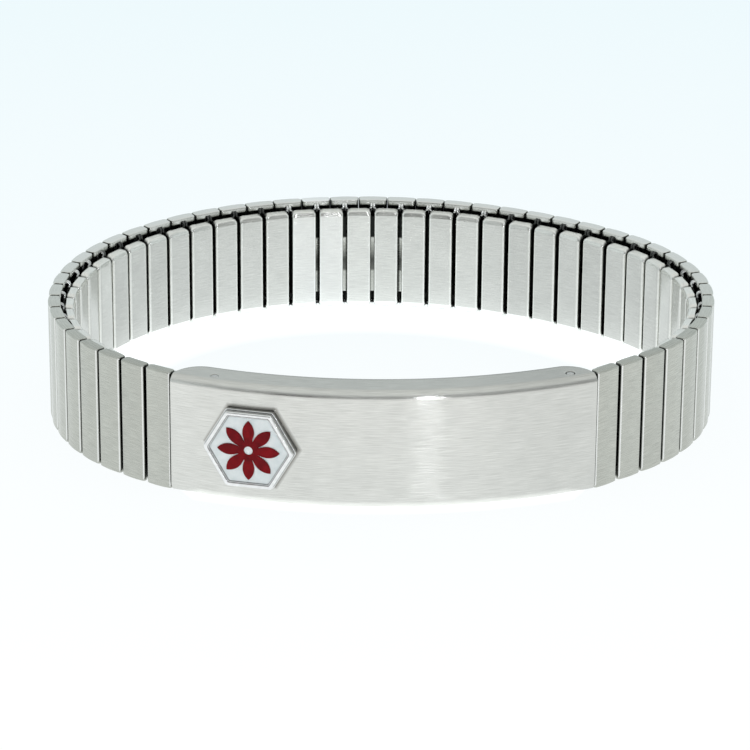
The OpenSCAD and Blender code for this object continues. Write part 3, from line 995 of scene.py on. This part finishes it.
def plate_levels():
    """Section of the plate from its middle up to the flange's edge, for the outside and the
    inside of the sheet: depth, height, share of the flange, distance along it, and a colour
    number: a duller fold and flange, and painted shade along the flange's edge."""
    face = np.linspace(BAND_H / 2, BAND_H - FOLD_R, 7)[:-1]
    fold = np.radians(np.linspace(0, 90, 9))
    flange = np.concatenate([np.linspace(0, 0.48, HOLE_CELLS + 1)[1:], BEYOND_HOLE])
    sheets = []
    for into in (0, SHEET):
        depth = np.concatenate([0 * face + into, FOLD_R - (FOLD_R - into) * np.cos(fold),
                                0 * flange + FOLD_R])
        height = np.concatenate([face, BAND_H - FOLD_R + (FOLD_R - into) * np.sin(fold),
                                 0 * flange + BAND_H - into])
        sheets.append((depth, height))
    share = np.concatenate([0 * face, 0 * fold, flange])
    skin_and_shade = np.interp(np.degrees(fold), [40, 90], [0, FLANGE_SKIN])
    # The flange's last row is painted dark: painted shade along its back edge.
    skin_and_shade = np.concatenate([0 * face, skin_and_shade, np.where(flange < 0.95, FLANGE_SKIN, -0.6)])
    length = np.concatenate([face - BAND_H / 2, BAND_H / 2 - FOLD_R + FOLD_R * fold,
                             BAND_H / 2 + FOLD_R * (np.pi / 2 - 1) + flange * 2.6])
    return sheets, share, length, skin_and_shade


def plate_sheets():
    """Outside and inside of the sheet as two grids, rows from the lower flange to the upper."""
    columns, left_block, right_block = plate_columns()
    to_end = plate_half - abs(columns)
    round_part = np.sqrt(np.maximum(CORNER_R ** 2 - np.maximum(CORNER_R - to_end, 0) ** 2, 0))
    flange_end = np.maximum(FLANGE_DEPTH - CORNER_R - RIM_BULGE + round_part, FOLD_R + 0.02)
    sheets, share, length, skin_and_shade = plate_levels()
    turn = columns / PLATE_R
    grids = []
    for depth, height in sheets:
        reach_back = depth[:, None] + share[:, None] * (flange_end - FOLD_R)
        upper = solid_points(on_plate(turn, reach_back), height[:, None])
        grids.append(np.concatenate([upside_down(upper[:0:-1]), upper]))
    profile = np.concatenate([-length[:0:-1], length])
    # The face is painted a little darker towards its right end: painted shade.
    wear_and_painted_light = np.concatenate([skin_and_shade[:0:-1], skin_and_shade])[:, None] - 0.09 * np.clip((columns - 8) / 8, 0, 1)
    brush = np.stack(np.broadcast_arrays(columns[None, :], profile[:, None]), axis=-1)
    return np.array(grids), brush, wear_and_painted_light, left_block, right_block


print("The strip is", round(2 * plate_levels()[2][-1], 1), "mm wide before it is bent")

# %% [markdown]
# A hole could be cut with a Boolean, but that leaves long thin faces, which shade badly. So a
# block of eight by eight faces is taken out and two rings of faces lead from its border to the
# circle. The shell then gives the hole its wall, as it does for every open edge.

# %% Holes and the whole plate
RIGHT_HOLE_R = 0.53
LEFT_HOLE_R = 0.435


def drill(grids, brush, keep, row, column, turn, radius):
    """Takes a block of faces out and leads 32 border points to a circle round the pin.
    A circle point lies at the radius, in the direction of its border point."""
    keep[row:row + HOLE_CELLS, column:column + HOLE_CELLS] = False
    run = np.arange(HOLE_CELLS)
    rows = np.concatenate([0 * run, run, 0 * run + HOLE_CELLS, HOLE_CELLS - run]) + row
    columns = np.concatenate([run, 0 * run + HOLE_CELLS, HOLE_CELLS - run, 0 * run]) + column
    border = grids[:, rows, columns]
    centre = on_plate(turn, PIN_DEPTH)
    plan = border[..., 0] + 1j * border[..., 1]
    circle = centre + radius * (plan - centre) / abs(plan - centre)
    rings = [solid_points(plan + share * (circle - plan), border[..., 2]) for share in (0.55, 1)]
    ring_map = [brush[rows, columns] + 0.1 * share for share in (0.55, 1)]
    return rows * grids.shape[2] + columns, rings, ring_map


def plate_shape():
    """The whole plate: two grids, four holes, and the shell that closes them."""
    grids, brush, wear_and_painted_light, left_block, right_block = plate_sheets()
    row_count, column_count = grids.shape[1:3]
    faces = grid_faces(row_count, column_count)
    keep = np.ones(faces.shape[:2], bool)
    pins = ((left_block, left_pin_turn, LEFT_HOLE_R), (right_block, right_pin_turn, RIGHT_HOLE_R))
    lower_row = len(BEYOND_HOLE)
    upper_row = row_count - 1 - HOLE_CELLS - lower_row
    points, maps, groups = [grids.reshape(2, -1, 3)], [brush.reshape(-1, 2)], []
    total = row_count * column_count
    for column, turn, radius in pins:
        for row in (lower_row, upper_row):
            border, rings, ring_map = drill(grids, brush, keep, row, column, turn, radius)
            first = total + np.arange(len(border))
            second = first + len(border)
            for outer, inner in ((border, first), (first, second)):
                groups.append(np.stack([outer, np.roll(outer, -1), np.roll(inner, -1), inner], axis=-1))
            points += rings
            maps += ring_map
            total += 2 * len(border)
    sheets = np.concatenate(points, axis=1)
    sheet_map = np.concatenate(maps)
    closed, closed_faces, source, depth = shell(sheets[0], sheets[1], [faces[keep]] + groups,
                                                bulge=RIM_BULGE, steps=5)
    sheet_skin_and_shade = np.concatenate([wear_and_painted_light.ravel(), np.full(len(sheet_map) - wear_and_painted_light.size, FLANGE_SKIN)])
    # Painted shade: the cut edge round every rim and hole is painted dark.
    cut_edge = np.sin(np.pi * depth)
    wear_and_painted_light = sheet_skin_and_shade[source] * (1 - cut_edge) - 0.8 * cut_edge
    return closed, closed_faces, sheet_map[source] + 0.4 * depth[:, None], wear_and_painted_light


piece("name_plate", plate_shape(), plate_steel, "plate_steel", "id_plate")

# %% [markdown]
# ## End links
#
# The band's two last inner links hide half under the plate. From the side of each a tongue
# runs to the plate's pin and is rolled round it, a thin ribbon that ends in an open curl. The
# sleeve is the same grid as before. The ribbon could be a box joined to a turned curl, but the
# join would show. So it is a thin upright section carried along one path in plan: straight to
# where it touches the curl's circle, then most of the way round.

# %% End links
EYE_R = 0.67
RIBBON_T = 0.27
CURL_DEGREES = 325


def ribbon(path, low, high):
    """Upright strip along a path in plan: section = thickness by height, with its long
    edges chamfered, and both ends closed by a fan."""
    tangent = np.gradient(path)
    normal = -1j * tangent / abs(tangent)
    half, cut = RIBBON_T / 2, 0.05
    across = np.array([half - cut, half, half, half - cut, cut - half, -half, -half, cut - half])
    level = np.array([low, low + cut, high - cut, high, high, high - cut, low + cut, low])
    points = solid_points(path[:, None] + normal[:, None] * across[::-1], level[::-1])
    ends = solid_points(path[[0, -1]], (low + high) / 2)
    length = np.concatenate([[0], np.cumsum(abs(np.diff(path)))])
    brush = np.stack(np.broadcast_arrays(length[:, None], level[::-1][None, :]), axis=-1)
    brush = np.concatenate([brush.reshape(-1, 2), [[0, low], [length[-1], low]]])
    return np.concatenate([points.reshape(-1, 3), ends]), closed_stack(*points.shape[:2]), brush, 0.2


def end_link(name, seat, turn, side, sense):
    """Sleeve and rolled tongue. The tongue leaves the sleeve ahead along the band (side 1) or
    back along it (side -1). The ribbon touches the curl's circle where the angle from the line
    to the root is acos(radius / distance), and then follows it, anticlockwise if sense is 1."""
    body = at_seats(inner_shape, [inner_seats[seat]], [heading[seat]])[0]
    root_in_link = side * (INNER_W / 2 - 0.1) + 1j * INNER_T / 2
    root = inner_seats[seat] + root_in_link * np.exp(1j * heading[seat])
    eye = on_plate(turn, PIN_DEPTH)
    start = np.angle(root - eye) + sense * math.acos(EYE_R / abs(root - eye))
    sweep = start + sense * np.radians(np.linspace(0, CURL_DEGREES, 34))
    curl = eye + EYE_R * np.exp(1j * sweep)
    straight = root + (curl[0] - root) * np.linspace(0, 1, 5)[:-1]
    low = INNER_DROP + 0.05
    strip = ribbon(np.concatenate([straight, curl]), low, BAND_H - low)
    piece(name + "_sleeve_and_tongue", joined((body, inner_faces, inner_map, inner_painted_light), strip),
          link_steel, "link_steel", name)


end_link("right_end_link", 0, right_pin_turn, side=-1, sense=1)
end_link("left_end_link", link_count, left_pin_turn, side=1, sense=-1)

# %% [markdown]
# ## Pins
#
# Each end of the band is held by a plain steel pin through both flanges. Its ends are turned
# with a small chamfer and a slight dome, so they show as small bright discs with a dark gap
# round them. A bevelled cylinder would have no dome. A lathe profile has both: a table of
# radius and height, turned round the axis.

# %% Pins
PIN_R = 0.41
PIN_SIDES = 28
PIN_SKIN = -0.3


def turned_pin(turn):
    """Surface of revolution: every profile point (radius, height) goes once round the pin."""
    radius = np.array([0.16, 0.30, 0.37, 0.40, PIN_R])
    height = np.array([0.010, 0.025, 0.05, 0.09, 0.20])
    radius = np.concatenate([radius, radius[::-1]])
    height = np.concatenate([height, BAND_H - height[::-1]])
    angle = np.arange(PIN_SIDES) * 2 * np.pi / PIN_SIDES
    centre = on_plate(turn, PIN_DEPTH)
    wall = solid_points(centre + radius[:, None] * np.exp(1j * angle), height[:, None])
    poles = solid_points(np.array([centre, centre]), np.array([0.005, BAND_H - 0.005]))
    points = np.concatenate([wall.reshape(-1, 3), poles])
    return points, closed_stack(*wall.shape[:2]), points[:, [0, 2]], PIN_SKIN


for name, turn in (("right_pin", right_pin_turn), ("left_pin", left_pin_turn)):
    piece(name + "_turned", turned_pin(turn), wire_steel, "bail_wire", name)

# %% [markdown]
# ## Badge
#
# The badge is a hexagonal medallion that is soldered to the plate: a metal rim, white enamel
# in it, and a rosette of red enamel on that. All three are stacks of rings. They could be drawn
# where they lie, but a hexagon is easier to describe in a flat plane of its own. So they are
# drawn there, and one function turns them to the plate and sets them on it.

# %% Drawing on the badge
BADGE_FLATS = 8.3
BADGE_ARC = 13.4
BADGE_Z = 6.1
badge_turn = -BADGE_ARC / PLATE_R


def hexagon_rings(insets, radii):
    """Outlines of rounded hexagons with a corner at each side. A hexagon that lies inset by
    some distance has its corners (half the flats - inset) x 2 / root 3 from the middle."""
    corner = (BADGE_FLATS / 2 - np.asarray(insets)) * 2 / math.sqrt(3)
    corners = corner[:, None] * np.exp(1j * np.arange(6) * np.pi / 3)
    return rounded_outline(corners, np.asarray(radii)[:, None], 4, [0.25, 0.5, 0.75])


def on_badge(flat, lift):
    """Points in space from a drawing in the badge's own plane and a lift off the plate."""
    plan = on_plate(badge_turn, -lift) + flat.real * np.exp(1j * badge_turn)
    return solid_points(plan, BADGE_Z + flat.imag)


def badge_stack(flat, lift, pole_lifts, wear_and_painted_light):
    """Stack of rings on the badge with a fan at either end. A fan meets in a point over the
    badge's middle, at a lift of its own."""
    groups = closed_stack(*flat.shape)
    flat = np.concatenate([flat.ravel(), [0, 0]])
    lift = np.concatenate([lift.ravel(), pole_lifts])
    return on_badge(flat, lift), groups, np.stack([flat.real, flat.imag], axis=-1), wear_and_painted_light


print("The badge stands", round(-math.degrees(badge_turn), 1), "degrees left of the plate's middle")

# %% [markdown]
# The rim's side has a step, its edge is chamfered and polished, and fine lines run inside it.
# Each of those is one row of a small table: how far in from the edge, how far out from the
# plate, how round the corners are, and how much painted shade lies there, dark in the grooves
# and at the foot. Bevels would need one setting for each line, and the table keeps them all in
# sight. The foot follows the plate.

# %% Badge frame
# The last column is painted shade: dark lines in the grooves and at the foot.
INSET, LIFT, ROUND, PAINTED_SHADE = 0, 1, 2, 3
BADGE_PROFILE = np.array([
    [0.000, 0.02, 0.40, 0.9],
    [0.000, 0.07, 0.40, 0.5],
    [0.000, 0.12, 0.40, 0.0],
    [0.000, 0.38, 0.40, 0.0],
    [0.015, 0.43, 0.40, 0.0],
    [0.040, 0.45, 0.39, 0.0],
    [0.085, 0.45, 0.37, 0.0],
    [0.095, 0.42, 0.37, 0.9],
    [0.110, 0.42, 0.37, 0.9],
    [0.118, 0.47, 0.37, 0.4],
    [0.120, 0.84, 0.36, 0.0],
    [0.145, 0.93, 0.35, 0.0],
    [0.200, 0.975, 0.33, 0.0],
    [0.320, 1.000, 0.30, 0.0],
    [0.450, 0.995, 0.28, 0.0],
    [0.490, 0.970, 0.27, 0.0],
    [0.505, 0.900, 0.27, 0.9],
    [0.530, 0.890, 0.27, 0.9],
    [0.545, 0.930, 0.26, 0.1],
    [0.575, 0.940, 0.26, 0.0],
    [0.600, 0.930, 0.25, 0.0],
    [0.625, 0.860, 0.25, 0.4],
    [0.640, 0.810, 0.25, 0.9],
    [0.700, 0.780, 0.25, 0.5],
])


def hollow(flat):
    """How far the plate's curve falls back behind the badge's plane: x squared / 2R."""
    return flat.real ** 2 / (2 * PLATE_R)


def badge_frame():
    """Rings of the profile table, with a fan at the foot and one on the recess floor."""
    flat = hexagon_rings(BADGE_PROFILE[:, INSET], BADGE_PROFILE[:, ROUND])
    lift = np.broadcast_to(BADGE_PROFILE[:, LIFT:LIFT + 1], flat.shape).copy()
    lift[0] -= hollow(flat[0])
    # Painted shade from the table's last column, and on the fans at the foot and on the recess floor.
    skin_and_shade = np.concatenate([np.repeat(BADGE_PROFILE[:, PAINTED_SHADE], flat.shape[1]), [1, 1]])
    return badge_stack(flat, lift, [0.02, 0.70], -skin_and_shade)


def polished_metal():
    """Plated and polished badge metal, a little uneven, with a few soft swirls."""
    material, tree, shader = finish("polished_badge_metal", Metallic=1.0)
    swirl = noise(tree, own_place(tree), 2.2 / MM, 4.0)
    plated = blended(tree, between(tree, swirl, 0, 1), (0.78, 0.79, 0.79), (0.92, 0.93, 0.93))
    weathered_and_painted_light(tree, shader, plated, between(tree, swirl, 0.10, 0.20))
    add_bump(tree, shader, swirl, 0.3, 0.02)
    return material


piece("badge_rim", badge_frame(), polished_metal(), "badge_metal", "badge_frame")

# %% [markdown]
# Above the badge and on its right the plate has a painted shadow: a soft dark line painted into
# the plate's colour where the badge would shade it. It could be a strip of its own, but it has no
# thickness: a distance from the hexagon, worked out in the plate's own brush map, darkens the
# plate's colour instead. The same map lies on the back of the sheet, so only points far enough
# from the bend's middle count.

# %% Painted shadow round the badge
# Painted shadow: how far its hexagon is moved right and up, and how wide it is.
SHADOW_AWAY = (0.13, 0.13)
SHADOW_W = 0.34


def beside_hexagon(tree, place):
    """Distance in mm off a hexagon with level flats and the badge's size:
    the larger of |y| and |x| sin 60 + |y| cos 60, less half the flats."""
    middle = (-BADGE_ARC + SHADOW_AWAY[0], BADGE_Z - BAND_H / 2 + SHADOW_AWAY[1], 0)
    off = vector_maths(tree, "ABSOLUTE", vector_maths(tree, "SUBTRACT", place, middle))
    level = vector_maths(tree, "DOT_PRODUCT", off, (0, 1, 0), "Value")
    slanting = vector_maths(tree, "DOT_PRODUCT", off, (math.sqrt(0.75), 0.5, 0), "Value")
    return maths(tree, "SUBTRACT", maths(tree, "MAXIMUM", level, slanting), BADGE_FLATS / 2)


def in_front(tree):
    """1 on the outer half of the sheet and 0 behind it, by the distance from the bend's axis."""
    level = vector_maths(tree, "MULTIPLY", own_place(tree), (1, 1, 0))
    axis = (plate_centre.real * MM, plate_centre.imag * MM, 0)
    far = vector_maths(tree, "DISTANCE", level, axis, "Value")
    return between(tree, far, 0, 1, (PLATE_R - 0.3) * MM, (PLATE_R - 0.2) * MM)


tree = plate_steel.node_tree
shader = tree.nodes["Principled BSDF"]
brush_map = add_node(tree, "ShaderNodeUVMap", uv_map="brush").outputs["UV"]
plate_colour = shader.inputs["Base Color"].links[0].from_socket
# Painted shadow: the plate's colour darkens near the badge's top and right sides, on the front of the
# sheet only.
shadow = between(tree, beside_hexagon(tree, brush_map), 0.72, 0, 0, SHADOW_W)
shadow = maths(tree, "MULTIPLY", shadow, in_front(tree))
tree.links.new(blended(tree, shadow, plate_colour, (0.14, 0.13, 0.11)), shader.inputs["Base Color"])
print("The solder line is up to", round(SHADOW_W + max(SHADOW_AWAY), 2), "mm wide")

# %% [markdown]
# Enamel is powdered glass that was melted into the recess. It sets as a shallow pillow and
# draws down a little where it meets the metal. One flat face would do from far off, but it would
# mirror the tent all in one tone, so rings give the pillow its curve. The glass is faintly
# cloudy: one slow noise varies its colour, its gloss and a very low relief together.

# %% White enamel
GROUND_INSET = 0.625
GROUND_LIFT = 0.80
PILLOW_RISE = 0.04


def enamel(name, deep, pale, gloss):
    """Fired enamel: glassy, with a slightly wavy surface and a faint cloudiness."""
    material, tree, shader = finish(name, Specular_IOR_Level=gloss, IOR=1.5)
    cloud = noise(tree, own_place(tree), 1.1 / MM, 4.0)
    tree.links.new(blended(tree, between(tree, cloud, 0, 1), deep, pale), shader.inputs["Base Color"])
    tree.links.new(between(tree, cloud, 0.14, 0.26), shader.inputs["Roughness"])
    add_bump(tree, shader, cloud, 0.3, 0.05)
    return material


def enamel_ground():
    """Pillow: rings shrink to the middle, and it rises by the rise x (1 - share squared)."""
    share = np.array([1.0, 1.0, 0.985, 0.95, 0.8, 0.6, 0.4, 0.2])
    drop = np.array([0.12, 0.03, 0.008, 0, 0, 0, 0, 0])
    rim = hexagon_rings([GROUND_INSET], [0.25])[0]
    flat = share[:, None] * rim
    lift = GROUND_LIFT + PILLOW_RISE * (1 - share ** 2) - drop
    lift = np.broadcast_to(lift[:, None], flat.shape)
    return badge_stack(flat, lift, [GROUND_LIFT - drop[0], GROUND_LIFT + PILLOW_RISE], 0)


white_enamel = enamel("white_enamel", (0.78, 0.85, 0.86), (0.91, 0.95, 0.95), 0.3)
piece("badge_white_enamel", enamel_ground(), white_enamel, "enamel_white", "badge_ground")

# %% [markdown]
# The red motif is a second, thinner layer of glass on the white, with a small round eye. It
# could be drawn petal by petal and joined, but a polar outline needs no joining: at every angle
# its radius is the larger of two, the petal's edge and the hub's. Rings between the eye and
# that outline then carry the rounded edges.

# %% Red rosette
PETALS = 8
PETAL_L = 2.5
PETAL_W = 1.2
PETAL_START = 0.7
HUB_R = 1.1
EYE_HOLE_R = 0.45
ROSETTE_FOOT = 0.83


def rosette_radius(angle):
    """Outline in polar form. A petal is the lens of two circles of radius r. On a ray at
    the angle a from its axis, b = c sin a - m cos a, and the ray leaves the lens at
    -b + root(b squared - q). The hub's circle takes over where the ray misses the lens."""
    r = ((PETAL_L / 2) ** 2 + (PETAL_W / 2) ** 2) / PETAL_W
    c, m = r - PETAL_W / 2, PETAL_START + PETAL_L / 2
    step = 2 * np.pi / PETALS
    a = abs((angle - np.pi / 2 + step / 2) % step - step / 2)
    b = c * np.sin(a) - m * np.cos(a)
    inside = b ** 2 - (c ** 2 + m ** 2 - r ** 2)
    leave = np.where(inside > 0, -b + np.sqrt(np.maximum(inside, 0)), 0)
    return np.maximum(leave, HUB_R)


def rosette():
    """Rings from the outline to the eye, over the top and back underneath, closed both ways.
    A ring's radius lies between the eye's and the outline's by the share in the table."""
    angle = np.linspace(0, 2 * np.pi, PETALS * 30, endpoint=False)
    share = np.array([1.0, 1.0, 0.985, 0.95, 0.85, 0.6, 0.3, 0.06, 0.015, 0, 0])
    lift = np.array([0, 0.07, 0.095, 0.105, 0.112, 0.118, 0.118, 0.108, 0.095, 0.07, 0])
    radius = EYE_HOLE_R + share[:, None] * (rosette_radius(angle) - EYE_HOLE_R)
    flat = radius * np.exp(1j * angle)
    points = on_badge(flat, ROSETTE_FOOT + np.broadcast_to(lift[:, None], flat.shape))
    faces = grid_faces(*flat.shape, closed_rows=True, closed_columns=True).reshape(-1, 4)
    across = np.broadcast_to(share[:, None], flat.shape)
    return points.reshape(-1, 3), [faces], np.stack([across.ravel(), abs(flat).ravel()], axis=-1), 0


red_enamel = enamel("red_enamel", (0.13, 0.003, 0.006), (0.25, 0.005, 0.009), 0.10)
piece("badge_red_rosette", rosette(), red_enamel, "enamel_red", "badge_rosette")

# %% [markdown]
# ## Floor and light
#
# Small metal things are photographed on white, in a tent of light, and what the steel shows
# is the tent: bright all round, with a few darker places where the camera looks in. So the
# light here is a sky without a sun, written as a formula of the direction, and the floor is
# a wide pale disc. Cards hung near the object would show up in views from other sides.
# The table is lit from below and is whitest close round the bracelet's foot, which also lights
# the lowest part of the steel. A ring of lamps would do that too, but it would be seen.

# %% Floor
FLOOR_R = 1200.0


def floor_disc():
    """Pale table, a touch below the bracelet's lower edge: rings that follow the bracelet's
    outline at a few distances, then circles, and a fan over the middle. Beside the foot the
    table glows more, as frosted glass does where the lamp below it is near."""
    plate_foot = on_plate(np.linspace(-1, 1, 16)[1:-1] * plate_half_turn, 0)
    foot = np.concatenate([marks, plate_foot])
    before = np.concatenate([0 * abs(marks), 1 + 0 * abs(plate_foot)])
    ahead = np.roll(foot, -1) - np.roll(foot, 1)
    outward = -1j * ahead / abs(ahead)
    distance = np.stack([0 * before - 9.0, 0 * before - 3.2, 1.2 * before - 1.4, 1.7 * before - 0.6])
    circles = np.array([150.0, 400.0, FLOOR_R])[:, None] * foot / abs(foot)
    plan = np.concatenate([foot + distance * outward, circles])
    glow = np.concatenate([np.repeat([0.0, 1.0, 1.0, 0.0, 0.0, 0.0, 0.0], len(foot)), [0.0]])
    faces = grid_faces(*plan.shape, closed_columns=True).reshape(-1, 4)
    points = np.concatenate([solid_points(plan, -0.02).reshape(-1, 3), [[0, 0, -0.02]]])
    return points, [faces[:, ::-1], fan_faces(plan.size, np.arange(len(foot)))], glow


floor_points, floor_faces, floor_glow = floor_disc()
floor_mesh = bpy.data.meshes.new("floor")
floor_mesh.from_pydata((floor_points * MM).tolist(), [],
                       [face for faces in floor_faces for face in faces.tolist()])
glow_layer = floor_mesh.attributes.new("glow", "FLOAT", "POINT")
glow_layer.data.foreach_set("value", floor_glow.astype(np.float32))
floor = bpy.data.objects.new("floor", floor_mesh)
bpy.context.scene.collection.objects.link(floor)

paper, tree, shader = finish("pale_floor", Roughness=0.9, Specular_IOR_Level=0.0)
shader.inputs["Base Color"].default_value = (0.07, 0.07, 0.07, 1)
far = add_node(tree, "ShaderNodeSeparateXYZ", {"Vector": own_place(tree)}).outputs["Y"]
share = between(tree, far, 0, 1, from_low=-85 * MM, from_high=130 * MM)
table = blended(tree, share, (1.02, 1.02, 1.02), (0.85, 0.95, 0.98))
tree.links.new(table, shader.inputs["Emission Color"])
near_foot = add_node(tree, "ShaderNodeAttribute", attribute_name="glow").outputs["Fac"]
tree.links.new(between(tree, near_foot, 0.95, 1.35, 0, 1), shader.inputs["Emission Strength"])
floor_mesh.materials.append(paper)
print("Floor of radius", FLOOR_R, "mm")

# %% [markdown]
# What a tent has besides its white walls are three things: the dim room behind the
# photographer, the narrow dark gap for the lens, and one bright upright lamp, whose reflection
# is the soft band across the plate. Each is a tall strip of sky with soft edges, given by the
# bearing at which it stands. The lamp is narrow, so a curved plate shows it only once.

# %% Light
scene = bpy.context.scene
scene.view_settings.view_transform = "Standard"
scene.view_settings.look = "None"
world = bpy.data.worlds.new("light_tent")
scene.world = world
world.use_nodes = True
sky = world.node_tree
background = sky.nodes["Background"]
direction = add_node(sky, "ShaderNodeTexCoord").outputs["Generated"]
height = add_node(sky, "ShaderNodeSeparateXYZ", {"Vector": direction}).outputs["Z"]
SKY_LOW, SKY_HIGH = (0.74, 0.80, 0.81), (0.80, 0.82, 0.81)
ROOM_GREY, GAP_DARK, LAMP_WHITE = (0.36, 0.37, 0.37), (0.04, 0.04, 0.04), (25.0, 25.0, 26.5)
tent = blended(sky, between(sky, height, 0, 1, 0.35, 0.75), SKY_LOW, SKY_HIGH)


def upright(bearing, inner, outer, low, high):
    """Share of a tall strip: its bearing in degrees to the right of straight back at the
    camera, its two half widths, and how high its soft top lies, as sines of elevation."""
    turn = math.radians(bearing)
    across = (math.cos(turn), math.sin(turn), 0)
    towards = (math.sin(turn), -math.cos(turn), 0)
    off = maths(sky, "ABSOLUTE", vector_maths(sky, "DOT_PRODUCT", direction, across, "Value"))
    near = between(sky, off, 1, 0, math.sin(math.radians(inner)), math.sin(math.radians(outer)))
    facing = vector_maths(sky, "DOT_PRODUCT", direction, towards, "Value")
    facing = between(sky, facing, 0, 1, 0, 0.1)
    top = between(sky, height, 1, 0, low, high)
    return maths(sky, "MULTIPLY", maths(sky, "MULTIPLY", near, facing), top)


room = blended(sky, upright(8, inner=38, outer=62, low=0.45, high=0.8), tent, ROOM_GREY)
lens_gap = blended(sky, upright(-18, inner=3, outer=9, low=0.25, high=0.45), room, GAP_DARK)
key = blended(sky, upright(10.75, inner=0.2, outer=0.9, low=0.25, high=0.4), lens_gap, LAMP_WHITE)
sky.links.new(key, background.inputs["Color"])
background.inputs["Strength"].default_value = 1.0
print("Light tent from", SKY_LOW, "at the horizon to", SKY_HIGH, "overhead")
